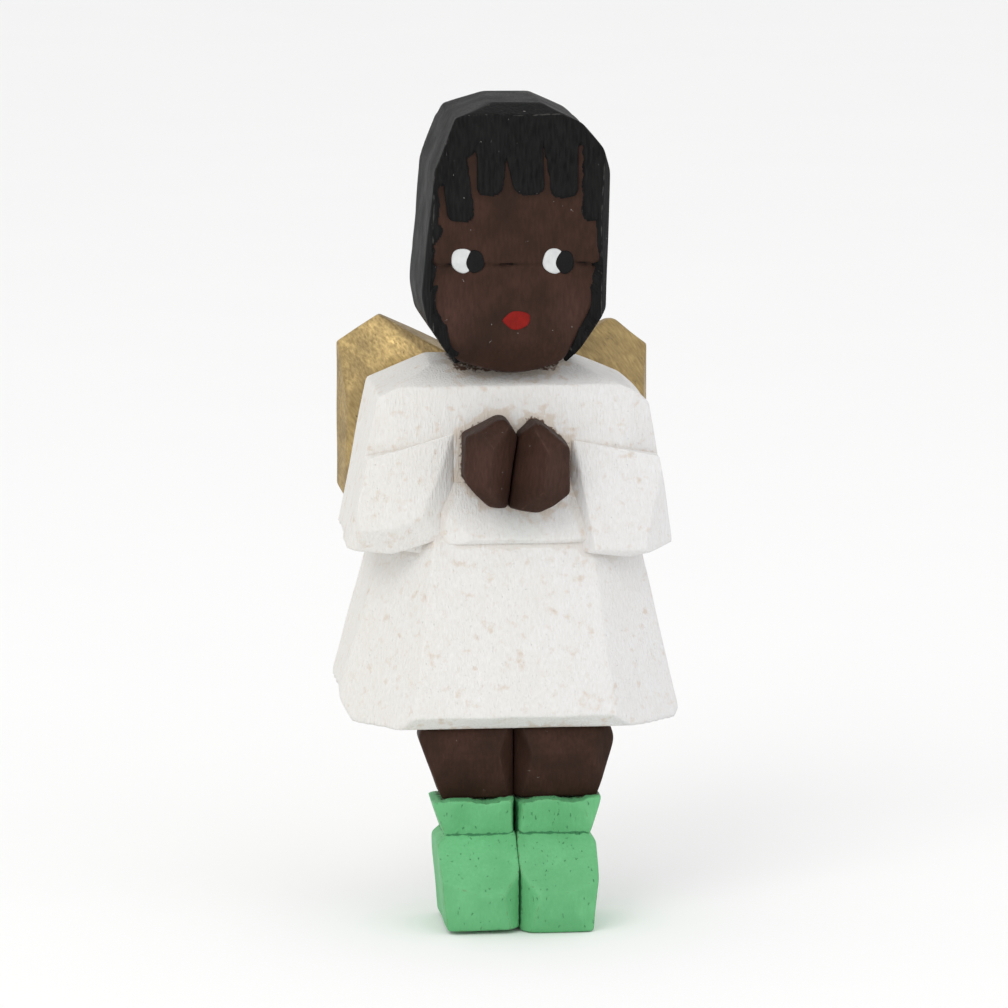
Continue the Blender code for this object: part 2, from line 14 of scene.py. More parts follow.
import bpy
import numpy as np
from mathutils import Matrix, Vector


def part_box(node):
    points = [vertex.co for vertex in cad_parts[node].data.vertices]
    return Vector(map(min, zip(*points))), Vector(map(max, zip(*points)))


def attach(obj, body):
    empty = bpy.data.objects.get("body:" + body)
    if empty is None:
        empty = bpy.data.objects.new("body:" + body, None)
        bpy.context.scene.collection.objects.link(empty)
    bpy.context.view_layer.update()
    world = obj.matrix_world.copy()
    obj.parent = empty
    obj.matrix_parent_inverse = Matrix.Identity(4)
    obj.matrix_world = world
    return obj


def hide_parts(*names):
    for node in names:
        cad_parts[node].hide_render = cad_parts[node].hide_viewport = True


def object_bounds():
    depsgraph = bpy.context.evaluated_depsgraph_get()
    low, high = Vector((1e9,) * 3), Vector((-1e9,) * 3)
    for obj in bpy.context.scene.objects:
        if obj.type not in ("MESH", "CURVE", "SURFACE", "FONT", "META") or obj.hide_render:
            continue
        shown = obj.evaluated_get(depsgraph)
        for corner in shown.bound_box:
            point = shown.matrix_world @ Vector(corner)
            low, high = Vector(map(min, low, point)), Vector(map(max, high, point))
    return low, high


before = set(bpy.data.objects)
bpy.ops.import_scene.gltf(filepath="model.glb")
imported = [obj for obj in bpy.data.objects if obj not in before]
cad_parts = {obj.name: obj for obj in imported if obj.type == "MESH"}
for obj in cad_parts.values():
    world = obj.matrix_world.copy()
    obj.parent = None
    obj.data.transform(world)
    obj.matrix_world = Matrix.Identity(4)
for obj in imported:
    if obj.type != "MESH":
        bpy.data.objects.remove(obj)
cad_low, cad_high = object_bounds()

Array = np.ndarray
Point = tuple[float, float, float]
Colour = tuple[float, float, float]
Socket = bpy.types.NodeSocket

log = logging.getLogger("carved_angel")

MM = 0.001

# How fine the surfaces are, and how they are found
HALVINGS = 21  # steps that close in on the surface along each ray
OUTLINE_SAMPLES = 4000
KNIFE_LENGTH = 7.5  # mm, the length of one stroke's slight wave
CREASE_WIDTH = 0.22  # mm, how far the darker band of an inner corner runs beside a stop cut, painted shade on skin and boots
CREASE_PROBE = 0.45  # mm, how far outside a surface its inner corners are looked for
EDGE_WIDTH = 0.17  # mm, how far wear and painted highlight run beside a sharp edge
FULL_CORNER = 0.9  # how far apart two planes' normals are where wear and painted highlight are full


def box_of(node: str) -> tuple[Array, Array]:
    """The corners of a node of the frame in millimetres."""
    low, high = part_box(node)
    return np.array(low) / MM, np.array(high) / MM


def smooth_step(value: Array, low: float, high: float) -> Array:
    """Rises from 0 at low to 1 at high along the curve 3t^2 - 2t^3."""
    t = np.clip((value - low) / (high - low), 0.0, 1.0)
    return t * t * (3.0 - 2.0 * t)


# ---- carved shapes --------------------------------------------------------------------------


class Side(Enum):
    """Which side of the figure a piece is on, seen from the front; its value is the sign of X."""

    LEFT = -1
    RIGHT = 1


@dataclass(frozen=True)
class Facet:
    """One straight knife cut. Each value that isn't zero names a face of the block and says how far
    in from that face, in millimetres, the cut meets the block's other faces."""

    left: float = 0.0
    right: float = 0.0
    front: float = 0.0
    back: float = 0.0
    bottom: float = 0.0
    top: float = 0.0

    def plane(self, half: Array) -> tuple[Array, float]:
        """The cut as a plane through a block centred on zero.

        The plane's slope along each named axis is one over its inset, and the sum of half size over
        inset, less one, is where it lies.

        Args:
            half: The block's three half sizes.

        Returns:
            The outward unit normal, and the plane's distance from the centre.
        """
        pairs = np.array([(self.left, self.right), (self.front, self.back), (self.bottom, self.top)])
        inset = pairs.max(axis=1)
        sign = np.where(pairs[:, 1] > 0.0, 1.0, -1.0)
        slope = np.where(inset > 0.0, 1.0 / np.where(inset > 0.0, inset, 1.0), 0.0)
        length = float(np.linalg.norm(slope))
        return sign * slope / length, float(half @ slope - 1.0) / length


class Shape(Protocol):
    """Anything that can say how deep a point lies: below zero inside, above zero outside."""

    def depth(self, points: Array) -> Array:
        """Signed distance of each point in millimetres."""

    def edge(self, points: Array) -> Array:
        """How near each point lies to a sharp edge, from 0 to 1."""

    def tone(self, points: Array) -> Array:
        """A value from -1 to 1 that differs from facet to facet."""


@dataclass
class Block:
    """A squared block with facets cut on it.

    Its depth is the smooth maximum of its planes, softness * log(sum(exp(distance / softness))),
    which rounds every edge over a little and inwards only. Each plane also carries the shallow wave
    of a knife stroke, ripple * sin(a) * sin(b) of the two directions along it.
    """

    low: Point
    high: Point
    facets: tuple[Facet, ...] = ()
    softness: float = 0.05
    ripple: float = 0.035
    inset: float = 0.0
    origin: Point = (0.0, 0.0, 0.0)
    turn: float = 0.0
    turn_axis: str = "Z"
    seed: int = 1

    def __post_init__(self) -> None:
        """Works out the planes, the directions along them and the phase of each plane's wave."""
        low, high = np.array(self.low), np.array(self.high)
        self.centre = (low + high) / 2.0
        half = (high - low) / 2.0
        faces = np.vstack([np.eye(3), -np.eye(3)])
        cuts = [facet.plane(half) for facet in self.facets]
        self.normals = np.vstack([faces, *[normal[None, :] for normal, _ in cuts]])
        self.offsets = np.concatenate([half, half, [offset for _, offset in cuts]])
        helper = np.where(np.abs(self.normals[:, 2:3]) < 0.8, [[0.0, 0.0, 1.0]], [[1.0, 0.0, 0.0]])
        first = np.cross(self.normals, helper)
        self.first = first / np.linalg.norm(first, axis=1, keepdims=True)
        self.second = np.cross(self.normals, self.first)
        chance = np.random.default_rng(self.seed)
        self.phases = chance.uniform(0.0, 2.0 * math.pi, (2, len(self.offsets)))
        self.stretch = chance.uniform(0.7, 1.4, (2, len(self.offsets)))
        self.tones = chance.uniform(-1.0, 1.0, len(self.offsets))
        angle = math.radians(self.turn)
        cos, sin = math.cos(angle), math.sin(angle)
        about_z = np.array([(cos, -sin, 0.0), (sin, cos, 0.0), (0.0, 0.0, 1.0)])
        about_y = np.array([(cos, 0.0, sin), (0.0, 1.0, 0.0), (-sin, 0.0, cos)])
        self.rotation = about_y if self.turn_axis == "Y" else about_z
        self.half = half

    @property
    def middle(self) -> Array:
        """The block's centre in the figure's own frame."""
        return np.array(self.origin) + self.rotation @ self.centre

    def distances(self, points: Array) -> Array:
        """Distance of each point from each plane, with the wave of the knife."""
        local = (points - np.array(self.origin)) @ self.rotation - self.centre
        pace = 2.0 * math.pi / KNIFE_LENGTH
        along = local @ self.first.T * (pace * self.stretch[0]) + self.phases[0]
        across = local @ self.second.T * (pace * self.stretch[1]) + self.phases[1]
        wave = self.ripple * (1.0 + np.sin(along) * np.sin(across))
        return local @ self.normals.T - self.offsets + wave + self.inset

    def depth(self, points: Array) -> Array:
        """The smooth maximum of the distances from all planes."""
        distances = self.distances(points)
        largest = distances.max(axis=1, keepdims=True)
        total = np.exp((distances - largest) / self.softness).sum(axis=1)
        return largest[:, 0] + self.softness * np.log(total)

    def edge(self, points: Array) -> Array:
        """Falls off with the way along the surface to the line where the two nearest planes meet.

        That way is the gap between their distances over the sine of the angle between them, and a blunt
        corner gets less wear and painted highlight than a sharp one.
        """
        distances = self.distances(points)
        nearest = np.argpartition(distances, -2, axis=1)[:, -2:]
        pair = np.take_along_axis(distances, nearest, axis=1)
        first, second = self.normals[nearest[:, 0]], self.normals[nearest[:, 1]]
        cosine = np.clip(np.einsum("ij,ij->i", first, second), -0.999, 0.999)
        away = np.abs(pair[:, 1] - pair[:, 0]) / np.sqrt(1.0 - cosine**2)
        sharpness = np.clip(np.sqrt(2.0 - 2.0 * cosine) / FULL_CORNER, 0.0, 1.0)
        return np.exp(-away / EDGE_WIDTH) * sharpness

    def tone(self, points: Array) -> Array:
        """The tone of the plane on which each point lies."""
        return self.tones[self.distances(points).argmax(axis=1)]


@dataclass
class Joined:
    """Blocks that are one piece of wood.

    Its depth is the smooth minimum of its blocks, -fillet * log(sum(exp(-depth / fillet))), so a
    little paint fills the inner corners.
    """

    blocks: tuple[Shape, ...]
    fillet: float = 0.04

    def _stack(self, points: Array) -> Array:
        """The depth of each point in each block, one row for each block."""
        return np.stack([block.depth(points) for block in self.blocks])

    def depth(self, points: Array) -> Array:
        """The smooth minimum of the blocks' depths."""
        depths = self._stack(points)
        least = depths.min(axis=0)
        return least - self.fillet * np.log(np.exp(-(depths - least) / self.fillet).sum(axis=0))

    def edge(self, points: Array) -> Array:
        """The edge value of the block that each point lies on."""
        owner = self._stack(points).argmin(axis=0)
        values = np.stack([block.edge(points) for block in self.blocks])
        return np.take_along_axis(values, owner[None, :], axis=0)[0]

    def tone(self, points: Array) -> Array:
        """The tone of the block that each point lies on."""
        owner = self._stack(points).argmin(axis=0)
        values = np.stack([block.tone(points) for block in self.blocks])
        return np.take_along_axis(values, owner[None, :], axis=0)[0]

    def seam(self, points: Array) -> Array:
        """How near each point lies to the inner corner between two blocks, from 0 to 1."""
        depths = np.sort(self._stack(points), axis=0)
        return np.exp(-np.abs(depths[1] - depths[0]) / (CREASE_WIDTH / 2.0))


@dataclass
class Changed:
    """A shape whose depth is changed by a function, such as a cut or a step in its surface."""

    shape: Shape
    change: Callable[[Array, Array], Array]

    def depth(self, points: Array) -> Array:
        """The shape's depth after the change."""
        return self.change(points, self.shape.depth(points))

    def edge(self, points: Array) -> Array:
        """The edge value of the shape under the change."""
        return self.shape.edge(points)

    def tone(self, points: Array) -> Array:
        """The tone of the shape under the change."""
        return self.shape.tone(points)


# ---- surfaces -------------------------------------------------------------------------------


def even_angles(
    count: int, half_u: float, half_v: float, start: float, stop: float, front: float
) -> Array:
    """Angles whose rays meet a rectangle's outline at even steps.

    The outline's radius is 1 / max(|cos| / half_u, |sin| / half_v). Its length is summed along the
    way, with more weight towards the front, and read back at even steps.

    Args:
        count: Number of angles.
        half_u: Half size along the direction of angle zero.
        half_v: Half size along the direction of a right angle.
        start: First angle of the span, in radians.
        stop: Last angle of the span; it isn't itself among the results.
        front: How many times closer the steps are where the sine is -1.

    Returns:
        The angles, from start onwards.
    """
    angle = np.linspace(start, stop, OUTLINE_SAMPLES)
    radius = 1.0 / np.maximum(np.abs(np.cos(angle)) / half_u, np.abs(np.sin(angle)) / half_v)
    x, y = radius * np.cos(angle), radius * np.sin(angle)
    weight = 1.0 + (front - 1.0) * np.clip(-np.sin(angle[1:]), 0.0, 1.0) ** 0.5
    length = np.concatenate([[0.0], np.cumsum(np.hypot(np.diff(x), np.diff(y)) * weight)])
    return np.interp(np.linspace(0.0, length[-1], count, endpoint=False), length, angle)


def follow_rays(shape: Shape, centre: Array, rays: Array, reach: float) -> Array:
    """The points where rays from inside a shape leave it.

    Each ray's span is halved again and again, and the half whose ends lie on two sides of the
    surface is kept.

    Args:
        shape: The carved shape, star-shaped as seen from the centre.
        centre: A point inside it.
        rays: Unit directions, one row each.
        reach: A distance that is outside the shape in every direction.

    Returns:
        One surface point for each ray.
    """
    inner = np.zeros(len(rays))
    outer = np.full(len(rays), reach)
    for _ in range(HALVINGS):
        middle = (inner + outer) / 2.0
        outside = shape.depth(centre + rays * middle[:, None]) > 0.0
        outer = np.where(outside, middle, outer)
        inner = np.where(outside, inner, middle)
    return centre + rays * outer[:, None]


@dataclass
class Surface:
    """Points of a closed grid: rings from top to bottom, with one point at each pole."""

    rings: Array
    poles: Array

    @property
    def points(self) -> Array:
        """All points, ring after ring, and then the two poles."""
        return np.vstack([self.rings.reshape(-1, 3), self.poles])

    def faces(self) -> tuple[Array, Array]:
        """The corner numbers of every face.

        Returns:
            Quads between neighbouring rings, and triangles from each pole to the ring beside it.
        """
        rows, columns = self.rings.shape[:2]
        index = np.arange(rows * columns).reshape(rows, columns)
        after = np.roll(index, -1, axis=1)
        quads = np.stack([index[:-1], index[1:], after[1:], after[:-1]], axis=-1).reshape(-1, 4)
        top = np.stack([np.full(columns, rows * columns), index[0], after[0]], axis=-1)
        bottom = np.stack([np.full(columns, rows * columns + 1), after[-1], index[-1]], axis=-1)
        return quads, np.vstack([top, bottom])


def wrap(
    shape: Shape, centre: Array, half: Array, rings: int, columns: int, front: float = 1.6
) -> Surface:
    """A surface around a shape, as a function of a turn about Z and of a tilt from the top pole.

    Args:
        shape: The shape to follow.
        centre: A point from which the whole surface can be seen.
        half: The half sizes of the shape's block, which space the rays.
        rings: Number of rings between the poles.
        columns: Number of points in a ring.
        front: How many times closer the columns lie on the front.

    Returns:
        The surface.
    """
    turn = even_angles(columns, half[0], half[1], 0.0, 2.0 * math.pi, front)
    side = float(half[0] + half[1]) / 2.0
    tilt = even_angles(rings + 1, half[2], side, 0.0, math.pi, 1.0)[1:]
    sine, cosine = np.sin(tilt)[:, None], np.cos(tilt)[:, None]
    rays = np.stack([sine * np.cos(turn), sine * np.sin(turn), cosine * np.ones(columns)], axis=-1)
    poles = np.array([(0.0, 0.0, 1.0), (0.0, 0.0, -1.0)])
    every = np.vstack([rays.reshape(-1, 3), poles])
    found = follow_rays(shape, centre, every, 2.5 * float(np.linalg.norm(half)))
    return Surface(found[:-2].reshape(rings, columns, 3), found[-2:])


def make_mesh(name: str, surface: Surface, values: dict[str, Array]) -> bpy.types.Object:
    """Writes a closed grid into a mesh, faces outward, with one float attribute for each value.

    Args:
        name: Name of the new object.
        surface: The surface, in millimetres.
        values: Attribute name to one number for each point.

    Returns:
        The object, linked to the scene.
    """
    points = surface.points * MM
    quads, triangles = surface.faces()
    corners = points[triangles]
    four = points[quads]
    volume = np.einsum("ij,ij->", corners[:, 0], np.cross(corners[:, 1], corners[:, 2]))
    volume += np.einsum("ij,ij->", four[:, 0], np.cross(four[:, 1], four[:, 2]))
    volume += np.einsum("ij,ij->", four[:, 0], np.cross(four[:, 2], four[:, 3]))
    if volume < 0.0:
        quads, triangles = quads[:, ::-1], triangles[:, ::-1]
    loops = np.concatenate([quads.ravel(), triangles.ravel()]).astype(np.int32)
    totals = np.concatenate([np.full(len(quads), 4), np.full(len(triangles), 3)])
    starts = np.concatenate([[0], np.cumsum(totals)[:-1]])
    mesh = bpy.data.meshes.new(name)
    mesh.vertices.add(len(points))
    mesh.vertices.foreach_set("co", points.ravel())
    mesh.loops.add(len(loops))
    mesh.loops.foreach_set("vertex_index", loops)
    mesh.polygons.add(len(totals))
    mesh.polygons.foreach_set("loop_start", starts.astype(np.int32))
    mesh.polygons.foreach_set("loop_total", totals.astype(np.int32))
    mesh.update(calc_edges=True)
    mesh.polygons.foreach_set("use_smooth", np.ones(len(totals), dtype=bool))
    for attribute, numbers in values.items():
        layer = mesh.attributes.new(attribute, "FLOAT", "POINT")
        layer.data.foreach_set("value", np.asarray(numbers, dtype=np.float32))
    mesh.update()
    piece = bpy.data.objects.new(name, mesh)
    bpy.context.scene.collection.objects.link(piece)
    return piece


# ---- shader building ------------------------------------------------------------------------


class Wiring:
    """Adds nodes to one node tree and joins their sockets."""

    def __init__(self, tree: bpy.types.NodeTree) -> None:
        """Keeps the tree to work on."""
        self.tree = tree

    def node(
        self, kind: str, inputs: dict[str, object] | None = None, **settings: object
    ) -> bpy.types.Node:
        """Adds a node.

        Args:
            kind: Blender's name of the node type.
            inputs: Socket name to a number, a colour or another node's output.
            **settings: Properties to set on the node.

        Returns:
            The node.
        """
        made = self.tree.nodes.new(kind)
        for name, value in settings.items():
            setattr(made, name, value)
        for name, value in (inputs or {}).items():
            self.feed(made.inputs[name], value)
        return made

    def feed(self, socket: Socket, value: object) -> None:
        """Links an output to a socket, or sets a plain value on it."""
        if isinstance(value, bpy.types.NodeSocket):
            self.tree.links.new(value, socket)
        elif isinstance(value, tuple) and len(value) == 3 and socket.type == "RGBA":
            socket.default_value = (*value, 1.0)
        else:
            socket.default_value = value

    def maths(self, operation: str, first: object, second: object = 0.0, clamp: bool = False) -> Socket:
        """One sum with numbers or outputs."""
        made = self.node("ShaderNodeMath", operation=operation, use_clamp=clamp)
        self.feed(made.inputs[0], first)
        self.feed(made.inputs[1], second)
        return made.outputs[0]

    def vectors(self, operation: str, first: object, second: object) -> bpy.types.Node:
        """One sum with vectors."""
        made = self.node("ShaderNodeVectorMath", operation=operation)
        self.feed(made.inputs[0], first)
        self.feed(made.inputs[1], second)
        return made

    def mix(self, share: object, first: object, second: object) -> Socket:
        """Mixes two colours by a share from 0 to 1."""
        made = self.node("ShaderNodeMix", data_type="RGBA")
        self.feed(made.inputs[0], share)
        self.feed(made.inputs[6], first)
        self.feed(made.inputs[7], second)
        return made.outputs[2]

    def remap(
        self, value: object, low: float, high: float, to_low: float = 0.0, to_high: float = 1.0
    ) -> Socket:
        """Carries a span on to another, and holds it at both ends."""
        span = {"Value": value, "From Min": low, "From Max": high, "To Min": to_low, "To Max": to_high}
        return self.node("ShaderNodeMapRange", span).outputs["Result"]

    def noise(self, vector: object, scale: object, detail: float = 3.0) -> Socket:
        """Cloudy noise around 0.5."""
        made = self.node("ShaderNodeTexNoise", {"Vector": vector, "Scale": scale, "Detail": detail})
        return made.outputs["Fac"]

    def attribute(self, name: str) -> Socket:
        """A float attribute of the mesh."""
        return self.node("ShaderNodeAttribute", attribute_name=name).outputs["Fac"]


class Effect(Enum):
    """The effects that several paints share, each one a node group."""

    FIBRE = "wood_fibre"
    PATCHES = "uneven_paint"
    SPECKS = "specks_and_pits"
    RAGGED = "ragged_border"


@dataclass
class Effects:
    """Builds each shared node group once and places it in materials."""

    built: dict[Effect, bpy.types.NodeTree] = field(default_factory=dict)

    def place(self, wiring: Wiring, effect: Effect, **values: object) -> Socket:
        """Places a group in a material.

        Args:
            wiring: The material's wiring.
            effect: Which group.
            **values: Input name to a value or an output.

        Returns:
            The group's mask.
        """
        if effect not in self.built:
            self.built[effect] = self._build(effect)
        made = wiring.node("ShaderNodeGroup", node_tree=self.built[effect])
        for name, value in values.items():
            wiring.feed(made.inputs[name], value)
        return made.outputs["Mask"]

    def _build(self, effect: Effect) -> bpy.types.NodeTree:
        """Makes the node group of one effect."""
        makers = {
            Effect.FIBRE: (self._fibre, {"Across": 3.0, "Along": 0.4}),
            Effect.PATCHES: (self._patches, {"Scale": 0.5, "Contrast": 2.0}),
            Effect.SPECKS: (self._specks, {"Across": 1.0, "Along": 1.0, "Size": 0.2, "Share": 0.3}),
            Effect.RAGGED: (self._ragged, {"Near": 0.0, "Reach": 0.5, "Scale": 2.0}),
        }
        maker, numbers = makers[effect]
        tree = bpy.data.node_groups.new(effect.value, "ShaderNodeTree")
        tree.interface.new_socket("Vector", in_out="INPUT", socket_type="NodeSocketVector")
        for name, value in numbers.items():
            socket = tree.interface.new_socket(name, in_out="INPUT", socket_type="NodeSocketFloat")
            socket.default_value = value
        tree.interface.new_socket("Mask", in_out="OUTPUT", socket_type="NodeSocketFloat")
        wiring = Wiring(tree)
        inside = wiring.node("NodeGroupInput")
        mask = maker(wiring, inside.outputs)
        wiring.node("NodeGroupOutput", {"Mask": mask})
        return tree

    def _stretched(self, wiring: Wiring, given: bpy.types.NodeOutputs) -> Socket:
        """The point, counted in fibres across and along the grain."""
        scale = wiring.node(
            "ShaderNodeCombineXYZ", {"X": given["Across"], "Y": given["Across"], "Z": given["Along"]}
        )
        return wiring.vectors("MULTIPLY", given["Vector"], scale.outputs[0]).outputs[0]

    def _fibre(self, wiring: Wiring, given: bpy.types.NodeOutputs) -> Socket:
        """Fine streaks along the grain: noise stretched along Z, with its contrast raised."""
        streaks = wiring.noise(self._stretched(wiring, given), 1.0, 4.0)
        return wiring.remap(streaks, 0.34, 0.66)

    def _patches(self, wiring: Wiring, given: bpy.types.NodeOutputs) -> Socket:
        """Uneven paint: slow noise around a half, spread by the contrast."""
        cloud = wiring.noise(given["Vector"], given["Scale"], 4.0)
        spread = wiring.maths("MULTIPLY", wiring.maths("SUBTRACT", cloud, 0.5), given["Contrast"])
        return wiring.maths("ADD", spread, 0.5, clamp=True)

    def _specks(self, wiring: Wiring, given: bpy.types.NodeOutputs) -> Socket:
        """Scattered marks: a spot at the middle of a share of all cells, with a broken outline."""
        place = self._stretched(wiring, given)
        cloud = wiring.node("ShaderNodeTexNoise", {"Vector": place, "Scale": 2.3})
        bent = wiring.vectors("ADD", place, cloud.outputs["Color"])
        cells = wiring.node("ShaderNodeTexVoronoi", {"Vector": bent.outputs[0], "Scale": 1.0})
        size = wiring.maths("SUBTRACT", given["Size"], cells.outputs["Distance"])
        spot = wiring.maths("MULTIPLY", size, 9.0, clamp=True)
        drawn = wiring.node("ShaderNodeSeparateColor", {"Color": cells.outputs["Color"]})
        kept = wiring.maths("LESS_THAN", drawn.outputs[0], given["Share"])
        return wiring.maths("MULTIPLY", spot, kept)

    def _ragged(self, wiring: Wiring, given: bpy.types.NodeOutputs) -> Socket:
        """A border with a ragged rim: nearness plus noise, cut off at a level set by the reach."""
        rough = wiring.noise(given["Vector"], given["Scale"], 5.0)
        waver = wiring.maths("MULTIPLY", wiring.maths("SUBTRACT", rough, 0.5), 1.6)
        lifted = wiring.maths("ADD", given["Near"], waver)
        level = wiring.maths("SUBTRACT", lifted, wiring.maths("SUBTRACT", 1.0, given["Reach"]))
        return wiring.maths("MULTIPLY", level, 4.0, clamp=True)


EFFECTS = Effects()


# ---- finishes -------------------------------------------------------------------------------


@dataclass(frozen=True)
class Marks:
    """Scattered pits or specks in a paint."""

    colour: Colour
    across: float = 1.6
    along: float = 0.6
    size: float = 0.2
    share: float = 0.3
    strength: float = 0.7
    depth: float = 0.0


@dataclass(frozen=True)
class Border:
    """A band of colour that follows an attribute of the surface, with a ragged rim: wear and dirt,
    painted shade in creases, painted highlight along edges.
    """

    colour: Colour
    attribute: str
    reach: float
    strength: float
    scale: float = 2.5


@dataclass(frozen=True)
class Paint:
    """A coat of paint on carved wood."""

    name: str
    base: Colour
    second: Colour
    patch_scale: float = 0.35
    patch_contrast: float = 3.0
    streak: Colour = (0.5, 0.5, 0.5)
    streak_strength: float = 0.2
    fibre_across: float = 5.0
    fibre_along: float = 0.7
    fibre_depth: float = 0.02
    fibre_turn: Point = (0.0, 0.0, 0.0)
    tone_strength: float = 0.05
    borders: tuple[Border, ...] = ()
    marks: tuple[Marks, ...] = ()
    roughness: tuple[float, float] = (0.6, 0.8)
    metallic: float = 0.0
    specular: float = 0.4

    def material(self) -> bpy.types.Material:
        """Builds the material.

        Returns:
            A material whose colour, roughness and normal vary over the wood.
        """
        made = bpy.data.materials.new(self.name)
        made.use_nodes = True
        wiring = Wiring(made.node_tree)
        shader = made.node_tree.nodes["Principled BSDF"]
        place = wiring.node("ShaderNodeTexCoord").outputs["Object"]
        mm = wiring.vectors("MULTIPLY", place, (1000.0, 1000.0, 1000.0)).outputs[0]
        turned = wiring.node("ShaderNodeMapping", {"Vector": mm, "Rotation": self.fibre_turn}).outputs[0]
        fibre = EFFECTS.place(
            wiring, Effect.FIBRE, Vector=turned, Across=self.fibre_across, Along=self.fibre_along
        )
        patches = EFFECTS.place(
            wiring, Effect.PATCHES, Vector=mm, Scale=self.patch_scale, Contrast=self.patch_contrast
        )
        colour = wiring.mix(patches, self.base, self.second)
        colour = self.tint(wiring, mm, colour)
        tone = wiring.maths("MULTIPLY", wiring.attribute("tone"), self.tone_strength)
        colour = wiring.mix(wiring.maths("ADD", tone, self.tone_strength), colour, (0.0, 0.0, 0.0))
        streaks = wiring.maths("MULTIPLY", fibre, self.streak_strength)
        colour = wiring.mix(streaks, colour, self.streak)
        height = wiring.maths("MULTIPLY", fibre, -self.fibre_depth)
        for mark in self.marks:
            spots = EFFECTS.place(
                wiring, Effect.SPECKS, Vector=turned, Across=mark.across, Along=mark.along,
                Size=mark.size, Share=mark.share,
            )
            colour = wiring.mix(wiring.maths("MULTIPLY", spots, mark.strength), colour, mark.colour)
            height = wiring.maths("SUBTRACT", height, wiring.maths("MULTIPLY", spots, mark.depth))
        for border in self.borders:
            rim = EFFECTS.place(
                wiring, Effect.RAGGED, Vector=mm, Near=wiring.attribute(border.attribute),
                Reach=border.reach, Scale=border.scale,
            )
            colour = wiring.mix(wiring.maths("MULTIPLY", rim, border.strength), colour, border.colour)
        wiring.feed(shader.inputs["Base Color"], colour)
        rough = wiring.remap(wiring.maths("ADD", fibre, patches), 0.0, 2.0, *self.roughness)
        wiring.feed(shader.inputs["Roughness"], rough)
        shader.inputs["Metallic"].default_value = self.metallic
        shader.inputs["Specular IOR Level"].default_value = self.specular
        bump = wiring.node("ShaderNodeBump", {"Height": height, "Distance": MM, "Strength": 1.0})
        wiring.feed(shader.inputs["Normal"], bump.outputs[0])
        return made

    def tint(self, wiring: Wiring, mm: Socket, colour: Socket) -> Socket:
        """Room for a paint's own tints; a plain paint has none."""
        return colour


@dataclass(frozen=True)
class DressPaint(Paint):
    """White paint with painted warm light on the left and painted cool shade on the right, and painted
    shade under the hands.
    """

    painted_light_warm: Colour = (0.795, 0.785, 0.745)
    painted_shade_cool: Colour = (0.755, 0.765, 0.795)
    painted_shade_grey: Colour = (0.58, 0.62, 0.60)
    painted_shade_at: Point = (0.6, -8.4, 15.2)
    painted_shade_reach: float = 2.6

    def tint(self, wiring: Wiring, mm: Socket, colour: Socket) -> Socket:
        """Tints the paint across the figure as painted light, warm on the left and cool on the right,
        and greys it round one point under the hands as painted shade.
        """
        across = wiring.node("ShaderNodeSeparateXYZ", {"Vector": mm}).outputs["X"]
        # Painted light: warmer on the left, cooler on the right.
        painted_side_light = wiring.mix(wiring.remap(across, -15.0, 15.0), self.painted_light_warm, self.painted_shade_cool)
        colour = wiring.mix(0.6, colour, painted_side_light)
        # Painted shade: grey round the recess under the hands.
        away = wiring.vectors("DISTANCE", mm, self.painted_shade_at).outputs["Value"]
        near = wiring.remap(away, 0.4, self.painted_shade_reach, 0.45, 0.0)
        return wiring.mix(near, colour, self.painted_shade_grey)


@dataclass(frozen=True)
class WingPaint(Paint):
    """Gold paint with painted shade on the facets above one diagonal cut and below another, and over the
    right wing.
    """

    slant: Point = (0.64, 0.0, 0.77)
    upper_cut: float = 18.0
    lower_cut: float = 13.8
    soft: float = 0.15
    shade: Colour = (0.115, 0.080, 0.036)
    upper_share: float = 0.62
    lower_share: float = 0.30
    right_share: float = 0.42

    def tint(self, wiring: Wiring, mm: Socket, colour: Socket) -> Socket:
        """Darkens the paint with painted shade above one slanting line, below another, and right of the
        middle.
        """
        across = wiring.node("ShaderNodeSeparateXYZ", {"Vector": mm}).outputs["X"]
        # Painted shade over the right wing, and on the left wing's facets above and below two cuts.
        right = wiring.remap(across, -1.0, 1.0, 0.0, self.right_share)
        along = wiring.vectors("DOT_PRODUCT", mm, self.slant).outputs["Value"]
        upper_low, upper_high = self.upper_cut - self.soft, self.upper_cut + self.soft
        upper = wiring.remap(along, upper_low, upper_high, 0.0, self.upper_share)
        lower_low, lower_high = self.lower_cut - self.soft, self.lower_cut + self.soft
        lower = wiring.remap(along, lower_low, lower_high, self.lower_share, 0.0)
        left_share = wiring.maths("MAXIMUM", upper, lower)
        on_left = wiring.maths("LESS_THAN", across, 0.0)
        share = wiring.maths("MAXIMUM", wiring.maths("MULTIPLY", left_share, on_left), right)
        return wiring.mix(share, colour, self.shade)


@dataclass(frozen=True)
class SkinPaint(Paint):
    """Brown paint, lighter and redder on the cheeks and on the backs of the hands: partly wear, partly
    painted sheen.
    """

    sheen_and_wear: Colour = (0.078, 0.037, 0.028)
    sheen_and_wear_at: tuple[Point, ...] = (
        (-5.4, -7.6, 34.6),
        (5.6, -7.6, 34.2),
        (-2.2, -11.2, 21.5),
        (2.6, -11.2, 21.0),
    )
    sheen_and_wear_reach: float = 3.6
    sheen_and_wear_strength: float = 0.75

    def tint(self, wiring: Wiring, mm: Socket, colour: Socket) -> Socket:
        """Lightens the paint round each place of painted sheen and wear, less and less with distance."""
        # Painted sheen and wear on the cheeks and the backs of the hands.
        for place in self.sheen_and_wear_at:
            away = wiring.vectors("DISTANCE", mm, place).outputs["Value"]
            near = wiring.remap(away, 0.6, self.sheen_and_wear_reach, self.sheen_and_wear_strength, 0.0)
            colour = wiring.mix(near, colour, self.sheen_and_wear)
        return colour


DUST = Marks((0.50, 0.48, 0.46), across=1.25, along=1.25, size=0.11, share=0.15, strength=0.70)
SEAT_DIRT = (0.11, 0.055, 0.032)

